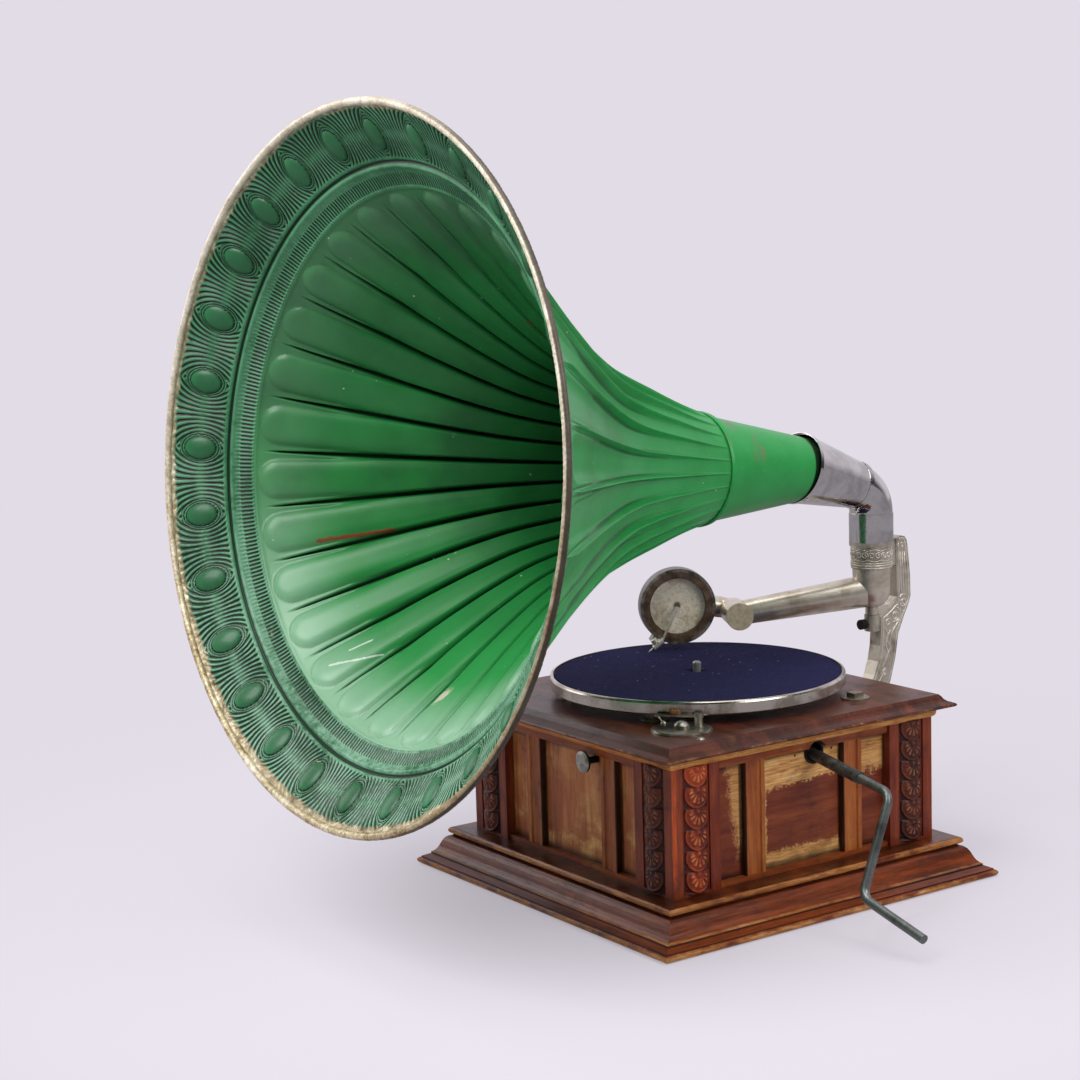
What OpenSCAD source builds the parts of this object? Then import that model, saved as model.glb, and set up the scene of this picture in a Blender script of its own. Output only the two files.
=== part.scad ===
// Horn gramophone: carved wooden cabinet, spring motor, platter, hollow tone arm, cast bracket, fluted horn.
// Frame: origin at the centre of the base on the floor, +Z up, the horn opens toward -Y, the crank is on +X
// and the bracket stands at the back on +Y. All sizes are millimetres.

/* [Cabinet] */
// reach of the base's bullnose beyond the corner posts
base_reach = 39.5; // [25:0.5:60]
// height of the base moulding
base_h = 34; // [24:1:50]
// half width of the cabinet body over the corner posts
body_half = 140.5; // [125:0.5:160]
// depth of the panels behind the front plane of the corner posts
panel_inset = 8; // [3:0.5:12]
// thickness of the panel boards
panel_t = 8; // [5:0.5:12]
// width of each corner post
post_w = 48.5; // [35:0.5:60]
// underside of the top board above the floor
board_z = 147; // [120:1:180]
// thickness of the top board
board_t = 11; // [8:0.5:18]
// reach of the top board beyond the corner posts
board_reach = 15.5; // [8:0.5:25]
// width of one carved half-round column
column_w = 27; // [18:0.5:34]
// number of stacked shells on a carved column
shells = 6; // [3:1:9]
// centre of a carved column from the outer face of its post
column_in = 24.2; // [20:0.1:30]

/* [Platter] */
// step from the platter's rim in to the felt
felt_in = 3; // [2.8:0.1:8]
// height of the felt's top above the floor
felt_z = 177.5; // [165:0.5:195]
// outer radius of the platter rim
rim_r = 127; // [112:1:155]
// height of the platter rim
rim_h = 11; // [6:0.5:16]
// radius of the record spindle
pin_r = 3.6; // [3:0.05:4]
// height of the record spindle above the felt
pin_h = 8; // [5:0.5:12]

/* [Motor] */
// underside of the upper motor plate
plate_z = 144; // [120:1:160]
// top of the lower motor plate
floor_z = 69; // [50:1:80]
// distance of the barrel arbor from the inside of the right panel
barrel_in = 56.5; // [50:0.5:64]
// outer radius of the spring barrel
barrel_r = 41; // [30:0.5:44]
// tooth count of the barrel wheel
barrel_teeth = 72; // [60:2:84]
// tooth count of every pinion
pinion_teeth = 12; // [12:1:16]
// tooth count of the intermediate wheel
inter_teeth = 60; // [50:2:70]
// module of the barrel wheel
barrel_m = 1.25; // [1:0.05:1.5]
// module of the intermediate wheel
inter_m = 1; // [0.8:0.05:1.2]
// tooth count of the worm wheel on the spindle
worm_teeth = 48; // [40:4:60]
// number of starts of the governor worm
worm_starts = 4; // [2:1:6]
// pitch radius of the governor worm
worm_r = 5; // [4:0.1:7]
// height of the governor shaft
gov_z = 112; // [105:0.5:120]
// tooth count of the crown wheel on the arbor
crown_teeth = 40; // [36:2:44]
// module of the crown wheel and its pinion
crown_m = 1.5; // [1.2:0.05:1.6]
// play taken off each tooth
backlash = 0.14; // [0.05:0.01:0.3]
// radial play of every running shaft
run_fit = 0.05; // [0.02:0.01:0.1]

/* [Crank] */
// y of the crank axis
crank_y = 14; // [0:0.5:25]
// height of the crank axis
crank_z = 127.5; // [115:0.5:132]
// radius of the crank rod
rod_r = 3.8; // [3:0.1:5]
// radius of the sleeve on the crank rod
sleeve_r = 5; // [4.5:0.1:6]
// x of the crank's two bends
crank_x = 232; // [215:1:250]
// bend radius of the crank's corners
crank_bend = 11; // [6:1:16]
// length of the crank's handle along x
handle_len = 70; // [50:1:100]

/* [Tone arm] */
// distance from the back panel to the vertical axis shared by bracket, arm and horn
axis_back = 72.5; // [60:0.5:85]
// rest direction of the arm, degrees from +X
arm_rest = -119; // [-125:0.5:-100]
// distance from the pivot to the cross tube
cross_s = 125; // [100:1:140]
// height of the cross tube
cross_z = 206.5; // [195:0.5:215]
// radius of the cross tube
cross_r = 12.1; // [10:0.1:14]
// distance from the pivot to the middle of the sound box
box_s = 179.7; // [160:0.1:200]
// height of the middle of the sound box
box_z = 217.2; // [212:0.1:222]
// radius of the sound box
box_r = 34.3; // [28:0.1:40]
// radius of the free part of the diaphragm
mica_r = 25.5; // [20:0.5:28]
// radius of the crook's tube
crook_r = 9.5; // [7:0.1:10]

/* [Horn] */
// height of the horn's axis over the pivot
horn_z = 333.44; // [320:0.01:350]
// upward tilt of the horn's axis
horn_tilt = 5.34; // [0:0.01:12]
// swing of the horn from -Y toward +X at rest
horn_turn = 2.22; // [-10:0.01:10]
// radius of the horn's mouth
mouth_r = 279; // [240:1:300]
// width of the embossed border, measured radially
border_w = 64; // [50:1:80]
// number of flutes
flutes = 28; // [20:1:36]
// depth of a flute
flute_d = 6; // [2:0.1:9]
// thickness of the horn's sheet, measured radially
sheet_t = 0.8; // [0.6:0.05:1.5]

/* [Hidden] */
$fn = 72;
eps = 0.01;
wall = panel_t;
panel_half = body_half - panel_inset;
inner_half = panel_half - panel_t;
base_half = body_half + base_reach;
board_half = body_half + board_reach;
post_in = body_half - post_w;
column_x = body_half - column_in;
felt_r = rim_r - felt_in;
barrel_x = inner_half - barrel_in;
axis_y = panel_half + axis_back;
bell_end = mouth_r - border_w;
board_top = board_z + board_t;
rim_z = felt_z - rim_h;
barrel_y = crank_y;
sb_dist = norm([barrel_x, barrel_y]);
si_dist = (pinion_teeth + inter_teeth) * inter_m / 2;
ib_dist = (pinion_teeth + barrel_teeth) * barrel_m / 2;
si_ang = atan2(barrel_y, barrel_x)
  + acos((sb_dist * sb_dist + si_dist * si_dist - ib_dist * ib_dist) / (2 * sb_dist * si_dist));
inter_x = si_dist * cos(si_ang);
inter_y = si_dist * sin(si_ang);
ib_ang = atan2(barrel_y - inter_y, barrel_x - inter_x);
worm_m = 0.8;
wheel_r = worm_teeth * worm_m / 2;
gov_x = -(wheel_r + worm_r);
worm_lead = worm_starts * PI * worm_m;
worm_tan = worm_lead / (2 * PI * worm_r);
crown_r = crown_teeth * crown_m / 2;
crown_pr = pinion_teeth * crown_m / 2;
crown_z = crank_z - crown_pr;
pad_face = -57.4;
cam_y = -inner_half + 18.5;
knob_x = 32.5;
knob_z = 127;
cam_low = 5;
cam_rise = 5.5;
lever_x = 22;
lever_y = -58;
bolts = [[inner_half - 15.8, 83], [-60, 85], [-60, -inner_half + 34.5], [55, -inner_half + 34.5]];
pillars = [[inner_half - 18.5, 62], [-40, 54], [-52, -36], [inner_half - 20.5, -36]];
brake_c = [101.8, -98.5];
post_c = [104.5, -83];
lever_a = -136.9;
crank_up = [crank_x, 5.2, 113.1];
crank_dn = [crank_x, -25.1, 35.6];
crank_end = [crank_x + handle_len, -27.5, 19.4];
crank_in = [inner_half - 3.1, crank_y, crank_z];
collar_r = 18.5;
collar_z = 243.5;
collar_top = 268;
spigot_r = 17.5;
arm_spigot = 13;
slope = atan(0.1268);
bend_r = 28;
bend_z = 293.9;
leg_a = 73;
leg_len = 76.5;
bell_rows = [[210, 47.05], [244, 55.8], [279, 66.8], [314, 78.1], [349, 92.5], [379, 110.9], [409, 132.3],
  [434, 150.9], [459, 170.5], [487, 192.6], [503, 205.7], [511, 212], [514.7, 215]];
bell_t = [for (p = bell_rows) [p[0], 47.05 + (p[1] - 47.05) * (bell_end - 47.05) / 167.95]];

// which node is drawn

// Helpers

module mitred(right) {
  pts = concat(right, [for (i = [len(right) - 1 : -1 : 0]) [-right[i][0], right[i][1]]]);
  intersection() {
    rotate([90, 0, 90]) linear_extrude(800, center = true) polygon(pts);
    rotate([90, 0, 0]) linear_extrude(800, center = true) polygon(pts);
  }
}

module four() {
  for (a = [0 : 90 : 270]) rotate([0, 0, a]) children();
}

module box(lo, hi) {
  translate(lo) cube(hi - lo);
}

module rod(a, b, r) {
  v = b - a;
  len = norm(v);
  translate(a) rotate([0, acos(v[2] / len), atan2(v[1], v[0])]) cylinder(h = len, r = r);
}

function unit(v) = v / norm(v);
function bend_len(u, v, br) = br * tan(acos(u * v) / 2);

module bent(p, u, v, br, r) {
  n = unit(v - (u * v) * u);
  z = cross(-n, u);
  c = p - bend_len(u, v, br) * u + br * n;
  multmatrix([[-n[0], u[0], z[0], c[0]], [-n[1], u[1], z[1], c[1]], [-n[2], u[2], z[2], c[2]], [0, 0, 0, 1]])
    rotate_extrude(angle = acos(u * v)) translate([br, 0]) circle(r);
}

function inv(a) = tan(a) * 180 / PI - a;

function gear_pts(n, m, bl) = let (
  rp = n * m / 2, rb = rp * cos(25), ra = rp + 0.8 * m, rr = rp - 1.15 * m, r0 = max(rb, rr + eps),
  hp = 90 / n - bl / 2 / rp * 180 / PI + inv(25),
  rs = concat([rr], [for (k = [0 : 4]) r0 + (ra - r0) * k / 4]),
  hs = [for (r = rs) hp - (r > rb ? inv(acos(rb / r)) : 0)]
) [for (i = [0 : n - 1]) let (c = 360 / n * i) each concat(
  [for (k = [0 : len(rs) - 1]) rs[k] * [cos(c - hs[k]), sin(c - hs[k])]],
  [for (k = [len(rs) - 1 : -1 : 0]) rs[k] * [cos(c + hs[k]), sin(c + hs[k])]])];

module gear(n, m, h) {
  linear_extrude(h) polygon(gear_pts(n, m, backlash));
}

module arm_frame() {
  translate([0, axis_y, 0]) rotate([0, 0, arm_rest]) children();
}

module box_frame() {
  arm_frame() translate([box_s, 0, box_z]) rotate([-90, 0, 0]) children();
}

module horn_frame() {
  translate([0, axis_y, horn_z]) rotate([0, 0, horn_turn]) rotate([90 - horn_tilt, 0, 0]) children();
}

// Cabinet

// square moulded base, a bullnose below and a cyma rising to a lip
module base_moulding() {
  color("sienna") difference() {
    mitred([for (p = [[3, 0], [0.8, 1.4], [0, 3.2], [0.4, 4.6], [1.8, 5.6], [3, 5.8], [3, 6.8], [4.6, 7.5],
      [8.6, 9.3], [9.4, 9.6], [9.4, 11], [11.2, 12], [13.2, 14], [14.6, 16.4], [15.8, 19.2], [17, 21.8],
      [18.6, 24.2], [21, 26], [23.4, 26.8], [24.4, 27.3], [24.4, 28.2], [22.4, 28.6], [21.2, 29.6],
      [20.8, 31], [21.2, 32.4], [22.4, 33.6]]) [base_half - p[0], p[1] * base_h / 34], [base_half - 24, base_h]]);
    box([-inner_half + 4, -inner_half + 4, -1], [inner_half - 4, inner_half - 4, base_h + 1]);
  }
}

// thin board closing the bottom
module bottom_board() {
  w = inner_half - 4;
  color("peru") box([-w, -w, 0], [w, w, 6]);
}

module panel_blank() {
  box([-post_in, -panel_half, base_h], [post_in, -inner_half, board_z]);
}

// front board with the bearing of the speed knob
module front_panel() {
  color("sienna") difference() {
    panel_blank();
    translate([knob_x, -panel_half - 1, knob_z]) rotate([-90, 0, 0]) cylinder(h = wall + 2, r = 3 + run_fit);
  }
}

// right board with the crank hole and two small screw holes
module right_panel() {
  color("sienna") rotate([0, 0, 90]) difference() {
    panel_blank();
    translate([crank_y, -panel_half - 1, crank_z]) rotate([-90, 0, 0]) cylinder(h = wall + 2, r = 9.22);
    for (dx = [-20, 20]) translate([crank_y + dx, -panel_half - 1, crank_z])
      rotate([-90, 0, 0]) cylinder(h = 6, r = 1.2);
  }
}

// left and back boards
module plain_panels() {
  color("sienna") for (a = [180, 270]) rotate([0, 0, a]) panel_blank();
}

// four corner posts, L-shaped in plan, with a channel for each column
module corner_posts() {
  color("saddlebrown") four() difference() {
    box([post_in, -body_half, base_h], [body_half, -post_in, board_z]);
    box([post_in - 1, -inner_half, base_h - 1], [inner_half, -post_in + 1, board_z + 1]);
    box([column_x - column_w / 2 - 0.5, -body_half - 1, base_h + 2],
      [column_x + column_w / 2 + 0.5, -body_half + 1.5, board_z - 8]);
    box([body_half - 1.5, -column_x - column_w / 2 - 0.5, base_h + 2],
      [body_half + 1, -column_x + column_w / 2 + 0.5, board_z - 8]);
  }
}

module one_column() {
  zl = base_h + 2;
  step = (board_z - 8 - zl) / shells;
  intersection() {
    translate([0, -body_half + 17.2, 0]) rotate_extrude() polygon(concat([[0, zl]],
      [for (i = [0 : shells - 1]) each [[20.2, zl + i * step], [20.9, zl + i * step + 2.5],
        [20.4, zl + i * step + 10], [19.3, zl + (i + 1) * step - 0.3], [19.3, zl + (i + 1) * step]]],
      [[0, zl + shells * step]]));
    box([-column_w / 2, -body_half - 6, zl], [column_w / 2, -body_half + 1.5, zl + shells * step]);
  }
}

// eight half-round columns of stacked shells, two at each corner
module carved_columns() {
  color("maroon") four() for (s = [-1, 1]) translate([s * column_x, 0, 0]) one_column();
}

// eight moulded uprights, two on each face
module panel_stiles() {
  d = panel_half;
  color("sienna") four() for (s = [0, 1]) mirror([s, 0, 0]) translate([0, 0, base_h + 4])
    linear_extrude(board_z - 15 - base_h - 4) polygon([[42.5, -d], [42.5, -d - 4.7], [43.3, -d - 5.5],
      [46.6, -d - 5.5], [47.4, -d - 4], [57.5, -d - 4], [58.3, -d - 5.5], [62.2, -d - 5.5],
      [63, -d - 4.7], [63, -d]]);
}

// sill and top rail between the posts on each face
module panel_rails() {
  d = panel_half;
  color("sienna") difference() {
    four() {
      box([-post_in, -d - 5.5, base_h], [post_in, -d, base_h + 4]);
      translate([-post_in, 0, 0]) rotate([90, 0, 90]) linear_extrude(2 * post_in) polygon([
        [-d, board_z - 15], [-d - 5.5, board_z - 15], [-d - 5.5, board_z - 8], [-body_half, board_z - 8],
        [-body_half, board_z], [-d, board_z]]);
    }
    translate([d - 1, crank_y, crank_z]) rotate([0, 90, 0]) cylinder(h = 12, r = 10.1);
  }
}

// mitred moulding below the top board
module bed_moulding() {
  b = body_half;
  color("goldenrod") difference() {
    mitred([[b + 1, board_z - 8], [b + 2.4, board_z - 6.5], [b + 3, board_z - 4.5], [b + 3, board_z]]);
    box([-b, -b, board_z - 9], [b, b, board_z + 1]);
  }
}

// moulded top board with the holes for spindle, bolts, brake and screw
module top_board() {
  w = board_half;
  z = board_z;
  color("saddlebrown") difference() {
    mitred([[w - 5, z], [w - 1.2, z + 0.7], [w, z + 2], [w - 0.8, z + 3.4], [w - 3, z + 4.3],
      [w - 6, z + 5.4], [w - 8, z + 7], [w - 9.4, z + 9.2], [w - 11, board_top]]);
    translate([0, 0, z - 1]) cylinder(h = board_t + 2, r = 9);
    for (b = bolts) translate([b[0], b[1], z - 1]) cylinder(h = board_t + 2, r = 3.1);
    translate([brake_c[0], brake_c[1], z + 3]) cylinder(h = board_t, r = 3.02);
    translate([board_half - 20, -106.4, z + 3]) cylinder(h = board_t, r = 1.52);
  }
}

// round-headed screw in front of the brake
module board_screw() {
  color("silver") translate([board_half - 20, -106.4, 0]) {
    translate([0, 0, board_top - 7]) cylinder(h = 7 + eps, r = 1.5);
    translate([0, 0, board_top]) intersection() {
      translate([0, 0, -2.2]) sphere(r = 3.9);
      cylinder(h = 4, r = 3.2);
    }
  }
}

// black bush lining the crank hole
module crank_bush() {
  color("black") translate([0, crank_y, crank_z]) rotate([0, 90, 0]) difference() {
    union() {
      translate([0, 0, inner_half]) cylinder(h = wall, r = 9.2);
      translate([0, 0, panel_half]) cylinder(h = 1.5, r = 10);
    }
    translate([0, 0, inner_half - 1]) cylinder(h = wall + 4, r = 8);
  }
}

// nickel knob, its stem and the snail cam that moves the regulator
module speed_knob() {
  y0 = -panel_half - 13.5;
  color("silver") translate([knob_x, 0, knob_z]) {
    translate([0, y0, 0]) rotate([90, 0, 0]) cylinder(h = 2, r = 9);
    translate([0, y0 - 2, 0]) rotate([90, 0, 0]) cylinder(h = 1.2, r1 = 9, r2 = 6.5);
    translate([0, y0, 0]) rotate([-90, 0, 0]) cylinder(h = cam_y + 5.7 - y0, r = 3);
    translate([0, cam_y, 0]) rotate([90, 0, 0]) linear_extrude(4) polygon(concat(
      [for (p = [0 : 10 : 300]) (cam_low + cam_rise * p / 300) * [cos(180 - p), sin(180 - p)]],
      [for (p = [305 : 11 : 355]) cam_low * [cos(180 - p), sin(180 - p)]]));
  }
}

// Motor

// upper plate that hangs the motor from the top board
module motor_top_plate() {
  color("dimgray") difference() {
    box([-72, -inner_half + 16.5, plate_z], [inner_half - 6.5, 96, board_z]);
    translate([0, 0, plate_z - 1]) cylinder(h = 6, r = 5 + run_fit);
    translate([barrel_x, barrel_y, plate_z - 1]) cylinder(h = 6, r = 6 + run_fit);
    translate([inter_x, inter_y, plate_z - 1]) cylinder(h = 6, r = 3 + run_fit);
    for (b = bolts) translate([b[0], b[1], plate_z - 1]) cylinder(h = 6, r = 3.1);
  }
}

// lower plate carrying the feet of the shafts
module motor_bottom_plate() {
  color("dimgray") difference() {
    box([-60, -44, floor_z - 3], [inner_half - 8.5, 70, floor_z]);
    translate([0, 0, floor_z - 4]) cylinder(h = 6, r = 4 + run_fit);
    translate([barrel_x, barrel_y, floor_z - 4]) cylinder(h = 6, r = 6 + run_fit);
    translate([inter_x, inter_y, floor_z - 4]) cylinder(h = 6, r = 3 + run_fit);
  }
}

// four pillars between the plates
module motor_pillars() {
  color("gray") for (p = pillars) translate([p[0], p[1], floor_z]) cylinder(h = plate_z - floor_z, r = 5);
}

// four bolts with square heads, washers and nuts
module motor_bolts() {
  color("silver") for (b = bolts) translate([b[0], b[1], 0]) {
    translate([0, 0, plate_z - 6]) cylinder(h = board_top - plate_z + 6 + eps, r = 3);
    translate([0, 0, board_top]) cylinder(h = 1.3, r = 12);
    translate([-5, -5, board_top + 1.3 - eps]) cube([10, 10, 4]);
    translate([-5, -5, plate_z - 4.5]) cube([10, 10, 4.5]);
  }
}

// spring barrel with its toothed bottom
module barrel_drum() {
  color("goldenrod") translate([barrel_x, barrel_y, 80]) difference() {
    union() {
      rotate([0, 0, ib_ang + 180 + 180 / barrel_teeth]) gear(barrel_teeth, barrel_m, 4);
      cylinder(h = 26, r = barrel_r);
    }
    translate([0, 0, 4]) cylinder(h = 30, r = barrel_r - 1.5);
    translate([0, 0, -1]) cylinder(h = 10, r = 6 + run_fit);
  }
}

// lid of the spring barrel
module barrel_cap() {
  color("goldenrod") translate([barrel_x, barrel_y, 106]) difference() {
    cylinder(h = 2, r = barrel_r);
    translate([0, 0, -1]) cylinder(h = 4, r = 6 + run_fit);
  }
}

// coiled mainspring, hooked to the barrel wall
module mainspring() {
  turns = 7;
  ri = 12;
  ro = barrel_r - 2.2;
  n = turns * 20;
  t = 0.9;
  color("slategray") translate([barrel_x, barrel_y, 85]) linear_extrude(20) polygon(concat(
    [for (i = [0 : n]) (ri + (ro - ri) * i / n) * [cos(18 * i), sin(18 * i)]],
    [for (i = [n : -1 : 0]) (ri - t + (ro - ri) * i / n) * [cos(18 * i), sin(18 * i)]]));
}

// arbor in the barrel, with the crown wheel that winds it
module winding_arbor() {
  color("goldenrod") translate([barrel_x, barrel_y, 0]) {
    translate([0, 0, floor_z - 3]) cylinder(h = plate_z + 2.5 - floor_z + 3, r = 6);
    translate([0, 0, floor_z + 0.5]) cylinder(h = 79.5 - floor_z - 0.5, r = 9);
    translate([0, 0, 84.5]) cylinder(h = 21, r = 10);
    translate([0, 0, 108.5]) cylinder(h = 3.5 + eps, r = 9);
    translate([0, 0, 112]) cylinder(h = crown_z - 1.65 - 112, r = crown_r + 2.5);
    for (k = [0 : crown_teeth - 1]) rotate([0, 0, 360 / crown_teeth * (k + 0.5)])
      translate([crown_r - 2.5, 0, crown_z - 1.65 - eps]) rotate([90, 0, 90]) linear_extrude(5)
        polygon([[-1.35, 0], [1.35, 0], [0.75, 1.65], [0.36, 2.85], [-0.36, 2.85], [-0.75, 1.65]]);
  }
}

// shaft turned by the crank, with the pinion and the socket for the crank
module winding_shaft() {
  color("slategray") translate([0, crank_y, crank_z]) rotate([0, 90, 0]) difference() {
    union() {
      translate([0, 0, inner_half - 38]) cylinder(h = 30, r = 4);
      translate([0, 0, inner_half - 33]) cylinder(h = 4.6, r = 6.5);
      translate([0, 0, barrel_x + crown_r - 2]) gear(pinion_teeth, crown_m, 4);
      translate([0, 0, inner_half - 8.1]) cylinder(h = 7.6, r = 8);
    }
    translate([0, 0, inner_half - 7.1]) cylinder(h = 10, r = 5.2);
  }
}

// bracket with the two bearings of the winding shaft
module winding_bracket() {
  w = inner_half;
  color("dimgray") difference() {
    union() {
      box([w - 37.5, crank_y - 8, plate_z - 4], [w - 8.5, crank_y + 8, plate_z]);
      box([w - 37.5, crank_y - 8, crank_z - 8], [w - 33.5, crank_y + 8, plate_z]);
      box([w - 13.5, crank_y - 8, crank_z - 8], [w - 8.5, crank_y + 8, plate_z]);
    }
    translate([w - 44.5, crank_y, crank_z]) rotate([0, 90, 0]) cylinder(h = 50, r = 4 + run_fit);
  }
}

// close-wound spring that grips the shaft against unwinding
module winding_check_spring() {
  color("slategray") {
    translate([inner_half - 22.5, crank_y, crank_z]) rotate([0, 90, 0]) rotate_extrude() polygon(concat(
      [[4 + run_fit, 0]],
      [for (i = [0 : 4]) each [[5, i * 1.6], [5.7, i * 1.6 + 0.4], [5.7, i * 1.6 + 1.2]]],
      [[5, 8], [4 + run_fit, 8]]));
    translate([inner_half - 15.3, crank_y, crank_z + 5]) cylinder(h = plate_z - 4 - crank_z - 5, r = 0.55);
  }
}

// intermediate wheel and its pinion
module intermediate_wheel() {
  color("goldenrod") translate([inter_x, inter_y, 0]) {
    translate([0, 0, floor_z - 3]) cylinder(h = board_z - 0.5 - floor_z + 3, r = 3);
    translate([0, 0, floor_z + 0.5]) cylinder(h = plate_z - floor_z - 1, r = 4);
    translate([0, 0, 73]) rotate([0, 0, si_ang + 180 + 180 / inter_teeth]) gear(inter_teeth, inter_m, 3);
    translate([0, 0, 78.5]) rotate([0, 0, ib_ang]) gear(pinion_teeth, barrel_m, 7);
  }
}

// spindle with its pinion, the platter seat and the record pin
module spindle() {
  color("silver") {
    translate([0, 0, floor_z - 5]) cylinder(h = 6, r = 4);
    translate([0, 0, floor_z + 0.5]) cylinder(h = 173 - floor_z - 0.5, r = 5);
    translate([0, 0, 71.5]) rotate([0, 0, si_ang]) gear(pinion_teeth, inter_m, 6);
    translate([0, 0, 160]) cylinder(h = 3, r = 8);
    cylinder_top = felt_z + pin_h - 1.3;
    translate([0, 0, 172]) cylinder(h = felt_z - 172 + eps, r = pin_r - 0.2);
    translate([0, 0, felt_z]) cylinder(h = cylinder_top - felt_z, r = pin_r);
    translate([0, 0, cylinder_top]) cylinder(h = 1.3, r1 = pin_r, r2 = pin_r - 1.2);
  }
}

// fibre wheel that drives the governor's worm
module spindle_worm_wheel() {
  tw = worm_tan * 5 / wheel_r * 180 / PI;
  color("saddlebrown") translate([0, 0, gov_z]) difference() {
    rotate([0, 0, 180 - tw / 2]) linear_extrude(5, center = true, twist = -tw, slices = 4)
      polygon(gear_pts(worm_teeth, worm_m, 0.3));
    cylinder(h = 10, r = 5.02, center = true);
  }
}

module gov_frame() {
  translate([gov_x, 0, gov_z]) rotate([-90, 0, 0]) children();
}

// governor shaft with its worm and fixed collar
module governor_shaft() {
  h = 14;
  tw = 360 * h / worm_lead;
  color("silver") gov_frame() {
    translate([0, 0, -68]) cylinder(h = 83, r = 2.5);
    translate([0, 0, -20]) cylinder(h = 6, r = 6);
    rotate([0, 0, -tw / 2]) linear_extrude(h, center = true, twist = -tw, slices = 42) polygon(
      [for (k = [0 : worm_starts - 1]) each [for (q = [[-0.92, -0.9], [0, -0.47], [0.64, -0.18],
        [0.64, 0.18], [0, 0.47], [-0.92, 0.9]]) let (a = 360 / worm_starts * (k + 0.5) + 360 * q[1] / worm_lead)
        (worm_r + q[0]) * [cos(a), sin(a)]]]);
  }
}

// sliding disc that the pad brakes
module governor_disc() {
  color("silver") gov_frame() difference() {
    union() {
      translate([0, 0, -52]) cylinder(h = 2, r = 15);
      translate([0, 0, -52]) cylinder(h = 6, r = 6);
    }
    translate([0, 0, -60]) cylinder(h = 20, r = 2.5 + run_fit);
  }
}

// three weights of the governor
module governor_weights() {
  color("gray") gov_frame() for (a = [0 : 120 : 240]) rotate([0, 0, a]) translate([6.4, 0, -33])
    rotate([0, 90, 0]) cylinder(h = 6.5, r = 5);
}

// three leaf springs of the governor
module governor_springs() {
  color("slategray") gov_frame() for (a = [0 : 120 : 240]) rotate([0, 0, a])
    box([6, -2, -49.5], [6.4, 2, -14.5]);
}

// bracket with the bearings of the governor, the lever's pivot and the knob's inner bearing
module governor_bracket() {
  color("dimgray") difference() {
    union() {
      box([gov_x - 6, -68, plate_z - 4], [gov_x + 6, 15, plate_z]);
      box([gov_x - 6, -68, gov_z - 7], [gov_x + 6, -63, plate_z]);
      box([gov_x - 6, 10, gov_z - 7], [gov_x + 6, 15, plate_z]);
      box([gov_x - 6, -68, plate_z - 4], [28, -52, plate_z]);
      box([16, cam_y + 2, plate_z - 4], [39, -52, plate_z]);
      box([26, cam_y + 2, knob_z - 6], [39, cam_y + 6, plate_z]);
      translate([lever_x, lever_y, 115]) cylinder(h = plate_z - 115, r = 3);
    }
    translate([gov_x, -70, gov_z]) rotate([-90, 0, 0]) cylinder(h = 90, r = 2.5 + run_fit);
    translate([knob_x, cam_y + 1, knob_z]) rotate([-90, 0, 0]) cylinder(h = 6, r = 3 + run_fit);
  }
}

// bell-crank lever between the cam and the governor's pad
module regulator_lever() {
  px = knob_x - cam_low - 1.65;
  color("silver") difference() {
    union() {
      translate([lever_x, lever_y, 116.5]) cylinder(h = 8, r = 6);
      box([gov_x - 2, lever_y - 4, 121], [lever_x, lever_y - 1.4, 124]);
      translate([lever_x, lever_y, 117]) rotate([0, 0, atan2(cam_y - 2 - lever_y, px - lever_x)])
        box([0, -1.2, 0], [norm([px - lever_x, cam_y - 2 - lever_y]), 1.2, 3]);
      translate([px, cam_y - 2, 117]) cylinder(h = 13, r = 1.5);
    }
    translate([lever_x, lever_y, 114]) cylinder(h = 14, r = 3 + run_fit);
  }
}

// leather pad that rubs on the disc
module regulator_pad() {
  color("tan") box([gov_x - 1.5, lever_y - 1.4, 120], [gov_x + 5, pad_face, 126]);
}

// Platter and brake

// pressed platter with a rolled rim and a hub
module platter() {
  color("silver") difference() {
    union() {
      rotate_extrude() polygon([[0, felt_z - 4], [rim_r - 2.6, felt_z - 4], [rim_r - 2.6, rim_z + 0.8],
        [rim_r - 1.9, rim_z], [rim_r - 0.7, rim_z], [rim_r, rim_z + 1], [rim_r, felt_z - 2],
        [rim_r - 0.5, felt_z - 0.7], [rim_r - 1.5, felt_z], [rim_r - 2.6, felt_z], [rim_r - 2.6, felt_z - 2],
        [0, felt_z - 2]]);
      translate([0, 0, 163]) cylinder(h = felt_z - 4 - 163 + eps, r = 12);
    }
    translate([0, 0, 160]) cylinder(h = 13.2, r = 5.02);
    translate([0, 0, 172]) cylinder(h = 10, r = pin_r + 0.04);
  }
}

// felt on the platter
module felt_mat() {
  color("midnightblue") translate([0, 0, felt_z - 2]) difference() {
    cylinder(h = 2, r = felt_r);
    translate([0, 0, -1]) cylinder(h = 4, r = pin_r + 0.5);
  }
}

// round plate with a domed nut and the post of the brake lever
module brake_plate() {
  color("silver") {
    translate([brake_c[0], brake_c[1], board_top - 7]) cylinder(h = 8, r = 3);
    translate([brake_c[0], brake_c[1], board_top]) {
      cylinder(h = 1.2, r = 25);
      cylinder(h = 2, r = 23.5);
      translate([0, 0, 2 - eps]) cylinder(h = 2.5, r = 6.3);
      translate([0, 0, 4.5 - eps]) intersection() {
        translate([0, 0, -4.2]) sphere(r = 7.57);
        cylinder(h = 6, r = 6.3);
      }
    }
    translate([post_c[0], post_c[1], board_top + 1]) cylinder(h = 166.6 - board_top - 1, r = 3.6);
    translate([post_c[0], post_c[1], 166]) cylinder(h = 2.9, r = 2.4);
    translate([post_c[0], post_c[1], 168.6]) cylinder(h = 1.2, r = 3.6);
  }
}

module lever_frame() {
  translate([post_c[0], post_c[1], 0]) rotate([0, 0, lever_a]) children();
}

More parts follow.
